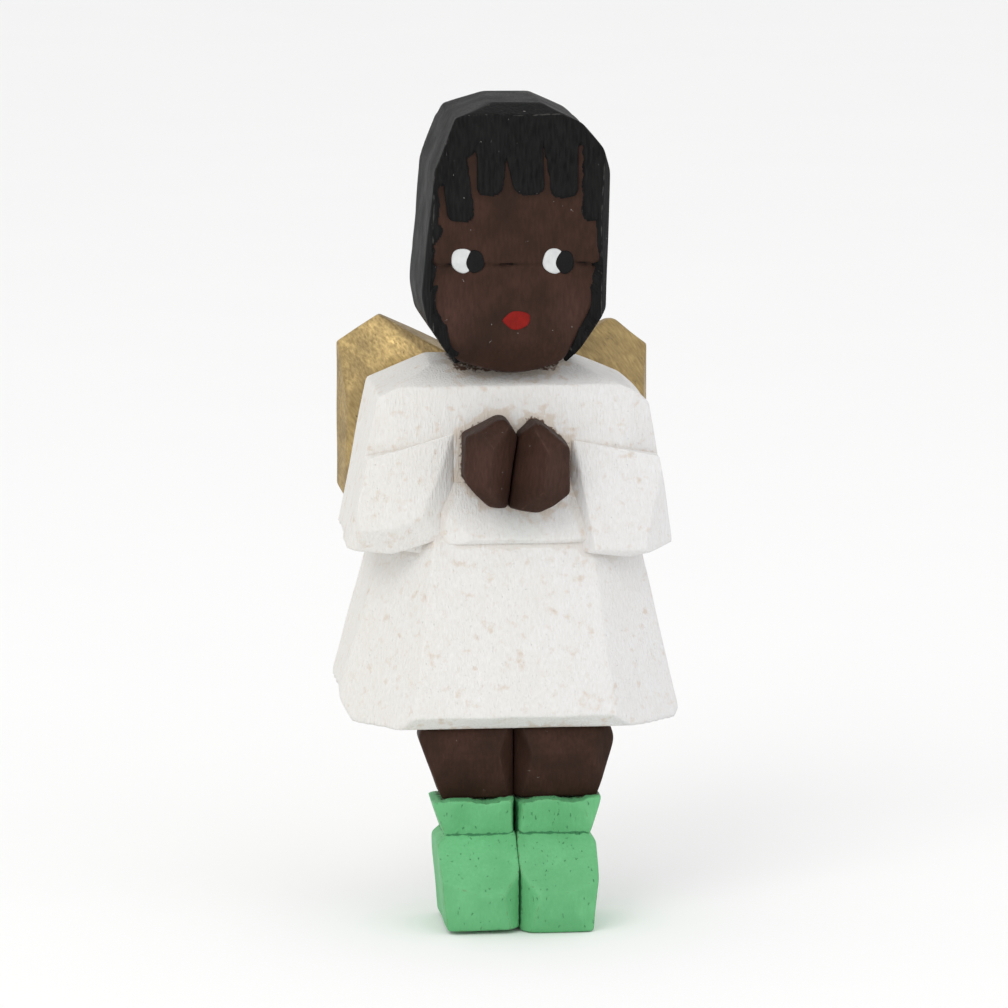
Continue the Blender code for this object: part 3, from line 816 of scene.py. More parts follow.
DRESS_PAINT = DressPaint(
    name="dress_paint",
    base=(0.79, 0.780, 0.765),
    second=(0.76, 0.735, 0.70),
    streak=(0.66, 0.625, 0.58),
    streak_strength=0.34,
    fibre_across=5.5,
    fibre_along=1.1,
    fibre_depth=0.040,
    tone_strength=0.012,
    borders=(
        # Darker and browner in the inner corners between the dress's blocks.
        Border((0.60, 0.54, 0.47), "crease", 0.80, 0.34, 0.8),
        Border((0.56, 0.44, 0.32), "touch", 0.86, 0.50, 1.1),
        Border(SEAT_DIRT, "touch", 0.26, 0.95, 2.6),
        # Painted highlight: whiter paint along sharp edges.
        Border((0.84, 0.83, 0.81), "edge", 0.30, 0.4, 1.0),
    ),
    marks=(
        Marks(
            (0.58, 0.52, 0.45), across=5.2, along=3.4,
            size=0.17, share=0.30, strength=0.34, depth=0.04,
        ),
        Marks(
            (0.48, 0.41, 0.33), across=2.2, along=1.6,
            size=0.09, share=0.14, strength=0.42, depth=0.05,
        ),
    ),
    roughness=(0.62, 0.86),
    specular=0.25,
)
SKIN_PAINT = SkinPaint(
    name="skin_paint",
    base=(0.031, 0.0150, 0.0100),
    second=(0.056, 0.0265, 0.0185),
    patch_scale=0.30,
    streak=(0.022, 0.0115, 0.008),
    streak_strength=0.40,
    fibre_across=3.6,
    fibre_along=1.1,
    fibre_depth=0.016,
    tone_strength=0.05,
    borders=(
        # Painted shade: near black in the brow crease and the inner corners of the head.
        Border((0.012, 0.007, 0.006), "crease", 0.50, 0.85, 1.6),
        # Lighter brown along sharp edges: partly wear, partly painted highlight.
        Border((0.085, 0.046, 0.034), "edge", 0.20, 0.45, 1.2),
    ),
    marks=(
        Marks(
            (0.020, 0.011, 0.009), across=2.6, along=1.6,
            size=0.15, share=0.25, strength=0.6, depth=0.03,
        ),
        DUST,
    ),
    roughness=(0.48, 0.68),
    specular=0.10,
)
HAIR_PAINT = Paint(
    name="hair_paint",
    base=(0.0052, 0.0052, 0.0053),
    second=(0.0085, 0.0085, 0.0085),
    streak=(0.0190, 0.0190, 0.0188),
    streak_strength=0.5,
    fibre_across=4.5,
    fibre_along=0.6,
    fibre_depth=0.02,
    tone_strength=0.08,
    borders=(Border((0.075, 0.073, 0.070), "edge", 0.26, 0.6, 1.3),),
    marks=(
        Marks((0.10, 0.098, 0.095), across=3.0, along=1.2, size=0.16, share=0.07, strength=0.6),
        DUST,
    ),
    roughness=(0.45, 0.66),
    specular=0.06,
)
BOOT_PAINT = Paint(
    name="boot_paint",
    base=(0.150, 0.485, 0.215),
    second=(0.118, 0.410, 0.172),
    streak=(0.105, 0.385, 0.155),
    streak_strength=0.35,
    fibre_across=3.8,
    fibre_along=1.2,
    fibre_depth=0.018,
    tone_strength=0.03,
    borders=(
        # Painted shade: dark green in the groove between the boots and in the corner between cuff and
        # foot.
        Border((0.030, 0.150, 0.060), "crease", 0.52, 0.85, 1.8),
        Border((0.050, 0.040, 0.020), "touch", 0.44, 0.9, 2.0),
        Border((0.130, 0.220, 0.085), "edge", 0.26, 0.55, 1.8),
    ),
    marks=(
        Marks(
            (0.045, 0.230, 0.090), across=2.6, along=1.2,
            size=0.20, share=0.42, strength=0.70, depth=0.06,
        ),
        Marks(
            (0.035, 0.190, 0.070), across=1.5, along=0.7,
            size=0.16, share=0.25, strength=0.75, depth=0.08,
        ),
    ),
    roughness=(0.48, 0.70),
    specular=0.3,
)
WING_PAINT = WingPaint(
    name="wing_paint",
    base=(0.72, 0.52, 0.215),
    second=(0.42, 0.305, 0.135),
    patch_scale=0.38,
    streak=(0.20, 0.135, 0.055),
    streak_strength=0.55,
    fibre_across=4.2,
    fibre_along=1.0,
    fibre_depth=0.03,
    fibre_turn=(0.0, 0.7, 0.0),
    tone_strength=0.05,
    borders=(
        # Painted shade: darker where the wing meets the torso and the head.
        Border((0.075, 0.055, 0.035), "touch", 0.40, 0.8, 1.5),
        Border((0.62, 0.47, 0.24), "edge", 0.22, 0.40, 1.6),
    ),
    marks=(
        Marks(
            (0.085, 0.055, 0.025), across=3.4, along=1.5,
            size=0.17, share=0.30, strength=0.7, depth=0.03,
        ),
    ),
    roughness=(0.38, 0.58),
    metallic=0.55,
    specular=0.5,
)
EYE_WHITE = Paint(
    name="eye_white",
    base=(0.70, 0.72, 0.71),
    second=(0.60, 0.62, 0.62),
    patch_scale=1.2,
    streak=(0.55, 0.55, 0.55),
    streak_strength=0.2,
    roughness=(0.45, 0.6),
)
EYE_BLACK = Paint(
    name="eye_black",
    base=(0.0060, 0.0060, 0.0065),
    second=(0.0090, 0.0085, 0.0085),
    patch_scale=1.2,
    streak=(0.016, 0.015, 0.015),
    streak_strength=0.3,
    roughness=(0.45, 0.6),
    specular=0.10,
)
LIP_RED = Paint(
    name="lip_red",
    base=(0.26, 0.010, 0.007),
    second=(0.20, 0.009, 0.006),
    patch_scale=1.4,
    streak=(0.15, 0.008, 0.006),
    streak_strength=0.35,
    roughness=(0.45, 0.6),
    specular=0.12,
)
BARE_WOOD = Paint(
    name="bare_wood",
    base=(0.66, 0.50, 0.31),
    second=(0.56, 0.40, 0.23),
    streak=(0.42, 0.27, 0.14),
    streak_strength=0.5,
    fibre_across=4.0,
    fibre_along=0.25,
    roughness=(0.6, 0.8),
)


@dataclass
class Finishes:
    """Makes each paint's material once."""

    made: dict[str, bpy.types.Material] = field(default_factory=dict)

    def of(self, paint: Paint) -> bpy.types.Material:
        """The material of a paint."""
        if paint.name not in self.made:
            self.made[paint.name] = paint.material()
        return self.made[paint.name]


# ---- pieces ---------------------------------------------------------------------------------


@dataclass
class Piece:
    """One carved surface that stands for a node of the frame."""

    name: str
    node: str
    paint: Paint
    shape: Shape
    centre: Array
    half: Array
    rings: int
    columns: int
    touching: tuple[Shape, ...] = ()
    beside: tuple[Shape, ...] = ()
    front: float = 1.6

    def build(self, finishes: Finishes) -> bpy.types.Object:
        """Makes the surface, its attributes and its paint.

        The attribute touch is near 1 beside another part, edge along sharp edges, and tone differs
        from facet to facet. Crease is near 1 in the inner corner with another block. It is measured
        a little outside the surface, so that faces that lie flush don't count.

        Args:
            finishes: Where materials come from.

        Returns:
            The finished object.
        """
        surface = wrap(self.shape, self.centre, self.half, self.rings, self.columns, self.front)
        points = surface.points
        outward = points - self.centre
        probe = points + CREASE_PROBE * outward / np.linalg.norm(outward, axis=1, keepdims=True)
        values = {
            "edge": self.shape.edge(points),
            "tone": self.shape.tone(points),
            "touch": nearness(self.touching, points, 2.0 * CREASE_WIDTH),
            "crease": nearness(self.beside, probe, CREASE_WIDTH),
        }
        if isinstance(self.shape, Joined):
            values["crease"] = np.maximum(values["crease"], self.shape.seam(points))
        piece = make_mesh(self.name, surface, values)
        finish(piece, finishes.of(self.paint), self.paint.name, self.node)
        return piece


def nearness(shapes: tuple[Shape, ...], points: Array, width: float) -> Array:
    """How near points lie to any of some shapes: exp(-distance / width), from 0 to 1."""
    if not shapes:
        return np.zeros(len(points))
    least = np.stack([shape.depth(points) for shape in shapes]).min(axis=0)
    return np.exp(-np.maximum(least, 0.0) / width)


def finish(piece: bpy.types.Object, material: bpy.types.Material, slot: str, *nodes: str) -> None:
    """Gives a piece its material, hangs it under the root and hides the nodes that it stands for.

    Args:
        piece: The new piece.
        material: Its material.
        slot: The record's material slot that it shows; not used.
        *nodes: The nodes that it stands for.
    """
    piece.data.materials.append(material)
    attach(piece, "root")
    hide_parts(*nodes)
    log.info("%s: %d faces", piece.name, len(piece.data.polygons))


@dataclass
class Head:
    """The head: the wood with its face, the hair over it, the eyes and the mouth."""

    width: float = 16.9
    depth: float = 17.3
    hair_relief: float = 0.22
    fringe_cover: float = 0.50
    side_cover: float = 0.85
    crown_slope: float = 1.2
    crown_height: float = 8.5
    core_inset: float = 1.7
    brow: float = 10.05
    window_side: float = 7.25
    hair_lift: float = 1.0
    chin_lift: float = 1.2
    face_width: float = 15.1
    face_middle: float = 0.2
    face_setback: float = 0.11
    fringe_curve: float = 0.065
    fringe_top: float = 21.5
    fringe_middle: float = 2.0
    lock_corner: float = 0.75
    step: float = 0.13
    paint_bridge: float = 0.45

    def __post_init__(self) -> None:
        """Places the head's block by the hair's box in the frame."""
        low, high = box_of("hair")
        self.chin = float(low[2])
        self.low = (0.4 - self.width / 2.0, float(low[1]), self.chin)
        self.high = (0.4 + self.width / 2.0, float(low[1]) + self.depth, float(high[2]))
        self.skull = self._skull(0.0)
        self.hair = Changed(self.skull, self._open_window)
        forehead = Changed(self._skull(self.hair_relief), self._cut_brow)
        self.wood = Joined((self._skull(self.core_inset), forehead, self._face()))

    def _skull(self, inset: float) -> Block:
        """The head's block with its facets."""
        facets = (
            Facet(left=6.5, top=2.3),
            Facet(left=3.6, top=8.4),
            Facet(left=1.65, top=17.0),
            Facet(left=1.4, bottom=7.2),
            Facet(left=3.6, bottom=5.4),
            Facet(right=6.1, top=3.0),
            Facet(right=4.1, top=4.7),
            Facet(right=1.9, top=6.1),
            Facet(right=0.7, bottom=16.4),
            Facet(right=1.9, bottom=7.5),
            Facet(right=4.5, bottom=6.4),
            Facet(left=1.0, front=1.4),
            Facet(right=0.9, front=1.4),
            Facet(front=self.crown_slope, top=self.crown_height),
            Facet(front=2.9, top=1.5),
            Facet(left=4.6, back=4.0),
            Facet(right=4.6, back=4.0),
            Facet(back=4.2, top=4.4),
            Facet(back=2.4, bottom=10.0),
            Facet(front=2.6, bottom=2.2),
        )
        return Block(self.low, self.high, facets, inset=inset, seed=3)

    def _cut_brow(self, points: Array, depth: Array) -> Array:
        """Ends the forehead at the crease between the eyes."""
        return np.maximum(depth, self.chin + self.brow - points[:, 2])

    def _face(self) -> Block:
        """The face below the brow, which stands a little proud of the forehead."""
        facets = (
            Facet(left=2.9, bottom=7.1),
            Facet(left=6.2, bottom=2.1),
            Facet(right=3.6, bottom=7.3),
            Facet(right=6.0, bottom=2.4),
            Facet(left=3.6, front=0.55),
            Facet(right=3.6, front=0.55),
            Facet(front=1.6, bottom=3.0),
            Facet(front=0.12, top=0.5),
        )
        front = self.low[1] + self.face_setback
        low = (self.face_middle - self.face_width / 2.0, front, self.chin)
        high = (self.face_middle + self.face_width / 2.0, 0.0, self.chin + self.brow)
        return Block(low, high, facets, softness=0.16, ripple=0.05, seed=5)

    def _lock(self, x: Array, z: Array, foot: float, left: float, right: float, lean: Point) -> Array:
        """Signed distance from one lock of the fringe, a strip with a rounded foot.

        Args:
            x: Points' X.
            z: Points' Z above the chin.
            foot: Height of the lock's foot.
            left: X of its left side at the foot.
            right: X of its right side at the foot.
            lean: How far the left and the right side move per millimetre upwards.

        Returns:
            Distance, below zero inside the lock.
        """
        rise = np.maximum(z - foot, 0.0)
        edge_left = left + lean[0] * rise
        edge_right = right + lean[1] * rise
        middle = (edge_left + edge_right) / 2.0
        half = (edge_right - edge_left) / 2.0
        across = np.abs(x - middle) - half + self.lock_corner
        below = foot + self.lock_corner - z
        outer = np.hypot(np.maximum(across, 0.0), np.maximum(below, 0.0))
        return outer + np.minimum(np.maximum(across, below), 0.0) - self.lock_corner

    def covered(self, x: Array, z: Array) -> Array:
        """Signed distance from the hair on the front of the head, seen straight on.

        It is the union of the cap above the fringe, the five locks, and the hair at the sides.

        Args:
            x: Points' X.
            z: Points' Z above the chin.

        Returns:
            Distance, below zero under the hair.
        """
        cap = self.fringe_top - self.fringe_curve * (x - self.fringe_middle) ** 2 - z
        ragged = 0.32 * np.exp(-(((z - 13.1) / 0.55) ** 2)) + 0.10 * np.sin(2.1 * z)
        side_left = x + self.window_side - 0.65 * smooth_step(z, 11.4, 12.3) - ragged
        dab = 0.45 * np.exp(-(((z - 12.0) / 0.45) ** 2))
        side_right = 7.75 + 0.35 * smooth_step(z, 10.5, 13.0) - dab - x
        locks = [
            self._lock(x, z, 13.8, -5.66, -3.38, (-0.12, -0.12)),
            self._lock(x, z, 16.1, -3.10, -0.95, (0.02, 0.12)),
            self._lock(x, z, 16.2, 0.25, 2.80, (-0.22, -0.02)),
            self._lock(x, z, 15.9, 3.55, 5.76, (-0.15, 0.02)),
            self._lock(x, z, 13.8, 6.20, 7.70, (0.03, 0.02)),
        ]
        chin_left = self._outline(x, z, -1.0)
        chin_right = self._outline(x, z, 1.0)
        parts = [cap, side_left, side_right, chin_left, chin_right, *locks]
        return np.stack(parts).min(axis=0)

    def _outline(self, x: Array, z: Array, sign: float) -> Array:
        """Distance from the two slanting lines that close the face below the cheek on one side."""
        side = sign * (x - self.face_middle)
        cheek = (7.25 - 0.268 * np.maximum(7.2 - z, 0.0) - side) * 0.966
        jaw = (6.5 - 0.55 * (4.4 - z) - side) * 0.876
        return np.minimum(cheek, jaw)

    def _open_window(self, points: Array, depth: Array) -> Array:
        """Cuts a shallow pocket in the front of the hair wherever the face shows, deeper beside the
        cheeks, and ends the hair a little above the chin, higher under the face.

        The pocket's floor lies a cover behind the front, which leans back near the crown.
        """
        height = points[:, 2] - self.chin
        bare = smooth_step(self.covered(points[:, 0], height), 0.0, self.step)
        cheeks = 1.0 - smooth_step(height, self.brow, self.brow + 1.5)
        cover = self.fringe_cover + (self.side_cover - self.fringe_cover) * cheeks
        foot_of_slope = self.high[2] - self.chin - self.crown_height
        lean = self.crown_slope * np.maximum(height - foot_of_slope, 0.0) / self.crown_height
        pocket = self.low[1] + lean + cover * bare - points[:, 1]
        foot = self.hair_lift + self.chin_lift * bare
        return np.maximum(np.maximum(depth, pocket), foot - height)

    def front_of_wood(self, x: Array, z: Array) -> Array:
        """Y of the face's surface at given places, found by halving along Y."""
        near = np.full(x.shape, self.low[1] - 1.0)
        far = np.zeros(x.shape)
        for _ in range(HALVINGS):
            middle = (near + far) / 2.0
            outside = self.wood.depth(np.stack([x, middle, z], axis=-1).reshape(-1, 3)) > 0.0
            outside = outside.reshape(x.shape)
            near = np.where(outside, middle, near)
            far = np.where(outside, far, middle)
        return near

    def bridged(self, x: Array, z: Array) -> Array:
        """Y of the face's surface where paint bridges its creases.

        It is the mean, over a short way up and down, of the foremost point within that way.

        Args:
            x: Points' X.
            z: Points' Z.

        Returns:
            The Y values.
        """
        steps = np.linspace(-2.0 * self.paint_bridge, 2.0 * self.paint_bridge, 9)
        found = np.stack([self.front_of_wood(x, z + step) for step in steps])
        foremost = [found[start : start + 5].min(axis=0) for start in range(5)]
        return np.mean(foremost, axis=0)

    def build(self, finishes: Finishes, torso: Shape) -> None:
        """Builds the head, the hair and the painted features.

        Args:
            finishes: Where materials come from.
            torso: The torso, whose nearness goes into the touch attribute.
        """
        middle = np.array([0.4, 0.2, self.chin + 12.0])
        half = np.array([self.width, self.depth, self.high[2] - self.chin]) / 2.0
        head = Piece("head_carved", "head", SKIN_PAINT, self.wood, middle, half, 200, 450, (torso,))
        head.front = 4.0
        head.build(finishes)
        hair = Piece("hair_carved", "hair", HAIR_PAINT, self.hair, middle, half, 236, 416, (torso,))
        hair.front = 7.0
        hair.build(finishes)
        for dab in DABS:
            dab.build(self, finishes)


@dataclass
class Dab:
    """One dab of paint on the face, a thin lens that follows the wood.

    The outline is x = across * cos(t)^n, z = up * sin(t), turned by the tilt, and the front bulges
    by thickness * sqrt(1 - r^2) from the rim, where r is 1, to the middle.
    """

    name: str
    paint: Paint
    x: float
    z: float
    across: float
    up: float
    tilt: float = 0.0
    thickness: float = 0.09
    point: float = 0.0
    sunk: float = 0.25
    steps: int = 14
    spokes: int = 72

    def build(self, head: Head, finishes: Finishes) -> None:
        """Builds the dab.

        Args:
            head: The head that it is painted on.
            finishes: Where materials come from.
        """
        turn = np.linspace(0.0, 2.0 * math.pi, self.spokes, endpoint=False)
        share = np.linspace(0.0, 2.0, 2 * self.steps + 1)[1:-1]
        radius = np.where(share <= 1.0, share, 2.0 - share)[:, None]
        wobble = 1.0 + 0.03 * np.sin(3.0 * turn + self.x) + 0.02 * np.sin(5.0 * turn + self.z)
        pinch = 1.0 - self.point * np.clip(-np.cos(turn), 0.0, 1.0) ** 2
        flat_x = self.across * np.cos(turn) * wobble
        flat_z = self.up * np.sin(turn) * wobble * pinch
        angle = math.radians(self.tilt)
        x = self.x + radius * (flat_x * math.cos(angle) - flat_z * math.sin(angle))
        z = head.chin + self.z + radius * (flat_x * math.sin(angle) + flat_z * math.cos(angle))
        skin = head.bridged(x, z)
        bulge = self.thickness * np.sqrt(np.clip(1.0 - radius**6, 0.0, 1.0))
        y = np.where(share[:, None] <= 1.0, skin - bulge, skin + self.sunk)
        spot = head.bridged(np.array([self.x]), np.array([head.chin + self.z]))[0]
        middle = (self.x, head.chin + self.z)
        front_pole = (middle[0], spot - self.thickness, middle[1])
        back_pole = (middle[0], spot + self.sunk, middle[1])
        poles = np.array([front_pole, back_pole])
        surface = Surface(np.stack([x, y, z], axis=-1), poles)
        zeros = np.zeros(len(surface.points))
        piece = make_mesh(self.name, surface, {"edge": zeros, "tone": zeros, "touch": zeros})
        finish(piece, finishes.of(self.paint), self.paint.name, "head")


DABS = (
    Dab("eye_white_left", EYE_WHITE, -4.40, 10.35, 1.05, 1.10, tilt=20.0),
    Dab("eye_white_right", EYE_WHITE, 3.70, 10.20, 1.02, 1.13, tilt=12.0),
    Dab("pupil_left", EYE_BLACK, -3.35, 10.25, 0.84, 1.02, thickness=0.14),
    Dab("pupil_right", EYE_BLACK, 4.62, 10.10, 0.84, 1.05, thickness=0.14),
    Dab("mouth", LIP_RED, 0.35, 5.0, 1.22, 0.84, tilt=4.0, thickness=0.10, point=0.35),
)


@dataclass
class Dress:
    """The dress: torso, skirt, two sleeves and the lap, which show as five carved surfaces."""

    torso_height: float = 17.0
    torso_depth: float = 15.2
    torso_back: float = 0.3
    sleeve_span: float = 29.2
    sleeve_middle: float = -0.1
    sleeve_depth: float = 7.3
    sleeve_front: float = 9.3
    cuff_span: float = 10.3
    cuff_middle: float = 0.1
    ledge_left: float = 11.5
    ledge_right: float = 10.6
    lap_front: float = 8.6
    lap_drop: float = 1.7
    lap_rise: float = 7.0
    lap_overlap: float = 2.0
    skirt_front: float = 12.0
    waist: float = 15.5
    hem: float = 2.4
    seat_front: float = 1.5
    riser: float = 2.7

    def __post_init__(self) -> None:
        """Places the dress's blocks by its box in the frame."""
        low, high = box_of("dress")
        self.back = float(high[1])
        self.shoulders = float(high[2])
        self.sides = (float(low[0]), float(high[0]))
        self.sleeve_bottom = self.shoulders - self.torso_height
        self.torso = self._torso()
        self.skirt = Changed(self._skirt(), self._saw_seat)
        self.sleeve_left = self._sleeve_left()
        self.sleeve_right = self._sleeve_right()
        self.lap = self._lap()

    def _torso(self) -> Block:
        """The torso with its sloping shoulders."""
        facets = (
            Facet(left=3.4, top=16.2),
            Facet(left=9.6, bottom=1.5),
            Facet(left=8.0, top=3.8),
            Facet(right=2.5, top=15.0),
            Facet(right=4.8, bottom=1.4),
            Facet(right=8.4, top=3.6),
            Facet(right=5.8, top=5.2),
            Facet(front=4.0, top=2.0),
            Facet(front=1.0, top=6.0),
            Facet(left=4.4, front=2.5),
            Facet(right=4.6, front=2.4),
            Facet(back=3.5, top=5.0),
            Facet(left=5.2, back=3.2),
            Facet(right=5.2, back=3.2),
        )
        rear = self.back - self.torso_back
        half = self.sleeve_span / 2.0
        low = (self.sleeve_middle - half, rear - self.torso_depth, self.sleeve_bottom)
        high = (self.sleeve_middle + half, rear, self.shoulders)
        return Block(low, high, facets, seed=11)

    def _skirt(self) -> Block:
        """The skirt over the lap."""
        facets = (
            Facet(left=4.6, top=15.0),
            Facet(right=3.8, top=17.4),
            Facet(front=4.4, top=17.5),
            Facet(left=12.0, front=14.5, top=34.2),
            Facet(right=13.3, front=11.7, top=33.1),
            Facet(front=1.4, bottom=1.5),
            Facet(left=0.9, bottom=1.6),
            Facet(right=0.5, bottom=0.8),
            Facet(left=4.4, back=3.4),
            Facet(right=4.4, back=3.4),
            Facet(back=1.4, top=14.0),
        )
        low = (self.sides[0], -self.skirt_front, -self.hem)
        high = (self.sides[1], self.back, self.waist)
        return Block(low, high, facets, seed=13)

    def _saw_seat(self, points: Array, depth: Array) -> Array:
        """Saws the underside: level under the seat, with a sloping riser down to the front hem."""
        length = math.hypot(self.hem, self.riser)
        slope = (-(points[:, 1] + self.seat_front) * self.hem + points[:, 2] * self.riser) / length
        return np.maximum(depth, -np.maximum(points[:, 2], slope))

    def _sleeve_left(self) -> Block:
        """The left forearm, with a ledge that rises to the middle."""
        facets = (
            Facet(left=10.4, top=2.8),
            Facet(front=2.3, top=9.0),
            Facet(right=10.6, front=2.6, bottom=7.6),
            Facet(front=1.5, bottom=3.3),
            Facet(left=1.2, front=2.4),
            Facet(left=2.3, top=10.0),
            Facet(right=3.6, front=2.3),
            Facet(left=9.0, bottom=1.1),
            Facet(right=8.0, bottom=2.2),
        )
        low = (self.sleeve_middle - self.sleeve_span / 2.0, -self.sleeve_front, self.sleeve_bottom)
        high = (
            self.cuff_middle - self.cuff_span / 2.0,
            self.sleeve_depth - self.sleeve_front,
            self.sleeve_bottom + self.ledge_left,
        )
        return Block(low, high, facets, seed=17)

    def _sleeve_right(self) -> Block:
        """The right forearm, with a flat front."""
        facets = (
            Facet(right=9.0, top=1.8),
            Facet(front=2.0, top=9.0),
            Facet(front=0.8, bottom=0.9),
            Facet(right=2.6, front=2.6),
            Facet(right=1.5, top=8.9),
            Facet(left=2.0, front=2.3),
            Facet(right=4.6, bottom=1.1),
            Facet(left=6.0, bottom=0.7),
        )
        low = (self.cuff_middle + self.cuff_span / 2.0, -self.sleeve_front, self.sleeve_bottom)
        high = (
            self.sleeve_middle + self.sleeve_span / 2.0,
            self.sleeve_depth - self.sleeve_front,
            self.sleeve_bottom + self.ledge_right,
        )
        return Block(low, high, facets, seed=19)

    def _lap(self) -> Block:
        """What shows of the dress between the cuffs, below the hands."""
        facets = (
            Facet(front=1.6, top=5.0),
            Facet(front=0.4, bottom=0.5),
            Facet(left=3.6, front=0.9),
        )
        half = self.cuff_span / 2.0 + self.lap_overlap
        low = (self.cuff_middle - half, -self.lap_front, self.waist - self.lap_drop)
        high = (self.cuff_middle + half, -self.lap_overlap, self.sleeve_bottom + self.lap_rise)
        return Block(low, high, facets, seed=37)

    def build(self, finishes: Finishes, touching: tuple[Shape, ...]) -> None:
        """Builds the five surfaces.

        Args:
            finishes: Where materials come from.
            touching: Head, hands and legs, beside which dirt gathers.
        """
        skirt_middle = np.array([0.0, -2.6, 7.0])
        skirt_half = np.array([15.0, 10.0, 9.0])
        blocks = {
            "dress_torso": (self.torso, self.torso.middle, self.torso.half, 190, 440),
            "dress_skirt": (self.skirt, skirt_middle, skirt_half, 200, 470),
        }
        fronts = {"left": self.sleeve_left, "right": self.sleeve_right, "lap": self.lap}
        for name, block in fronts.items():
            blocks[f"dress_front_{name}"] = (block, block.middle, block.half, 150, 260)
        for name, (shape, middle, half, rings, columns) in blocks.items():
            others = tuple(entry[0] for other, entry in blocks.items() if other != name)
            piece = Piece(
                name, "dress", DRESS_PAINT, shape, middle, half, rings, columns, touching, others
            )
            piece.build(finishes)


@dataclass
class Hand:
    """One folded hand, with a V groove between it and the other."""

    side: Side
    width: float
    facets: tuple[Facet, ...]
    height: float = 8.0
    reach: float = 5.2
    lean: float = 8.0
    heel: float = 17.2
    groove: float = 0.02

    def __post_init__(self) -> None:
        """Places the hand by its box in the frame."""
        low, _ = box_of(f"hand_{self.side.name.lower()}")
        back = float(low[1]) + self.reach
        sign = self.side.value
        ends = sorted((sign * self.groove, sign * (self.groove + self.width)))
        half = self.height / 2.0
        self.shape = Block(
            (ends[0], -self.reach, -half),
            (ends[1], 0.4, half),
            self.facets,
            softness=0.11,
            origin=(0.0, back, self.heel + half),
            turn=self.lean,
            turn_axis="Y",
            seed=23 + sign,
        )

    def build(self, finishes: Finishes, dress: tuple[Shape, ...]) -> None:
        """Builds the hand's surface."""
        node = f"hand_{self.side.name.lower()}"
        shape = self.shape
        sizes = (shape.middle, shape.half, 110, 200)
        Piece(f"{node}_carved", node, SKIN_PAINT, shape, *sizes, dress).build(finishes)


LEFT_HAND = Hand(
    Side.LEFT,
    5.05,
    (
        Facet(left=3.1, top=2.2),
        Facet(left=1.0, bottom=8.0),
        Facet(left=3.2, bottom=2.6),
        Facet(left=2.8, front=2.4),
        Facet(right=2.4, front=2.8),
        Facet(right=1.2, top=1.4),
        Facet(front=2.0, top=2.6),
        Facet(front=1.9, bottom=2.4),
    ),
)
RIGHT_HAND = Hand(
    Side.RIGHT,
    5.55,
    (
        Facet(right=3.6, top=2.3),
        Facet(right=1.1, top=8.0),
        Facet(right=2.8, bottom=2.2),
        Facet(right=3.2, front=2.4),
        Facet(left=2.8, front=2.8),
        Facet(left=1.2, top=1.4),
        Facet(front=2.0, top=2.6),
        Facet(front=1.9, bottom=2.4),
    ),
)


@dataclass
class Leg:
    """One lower leg between the hem and the boot."""

    side: Side
    width: float
    taper: Facet
    height: float = 6.5
    depth: float = 5.4
    kerf: float = -0.03
    into_dress: float = 0.4

    def __post_init__(self) -> None:
        """Places the leg by its box in the frame."""
        low, high = box_of(f"leg_{self.side.name.lower()}")
        sign = self.side.value
        outer = "left" if self.side is Side.LEFT else "right"
        inner = "right" if self.side is Side.LEFT else "left"
        facets = (
            self.taper,
            Facet(**{outer: 0.4, "top": 0.9}),
            Facet(**{outer: 2.2, "front": 1.6}),
            Facet(**{inner: 1.5, "front": 2.0}),
            Facet(front=1.1, top=2.3),
            Facet(front=1.2, bottom=3.9),
            Facet(**{outer: 1.5, "back": 1.5}),
        )
        ends = sorted((sign * self.kerf, sign * (self.kerf + self.width)))
        front = float(high[1]) - self.depth
        top = float(high[2]) + self.into_dress
        self.shape = Block(
            (ends[0], front, top - self.height),
            (ends[1], float(high[1]), top),
            facets,
            softness=0.08,
            seed=31 + sign,
        )

    def build(self, finishes: Finishes, touching: tuple[Shape, ...]) -> None:
        """Builds the leg's surface."""
        node = f"leg_{self.side.name.lower()}"
        shape = self.shape
        sizes = (shape.middle, shape.half, 100, 220)
        Piece(f"{node}_carved", node, SKIN_PAINT, shape, *sizes, touching).build(finishes)


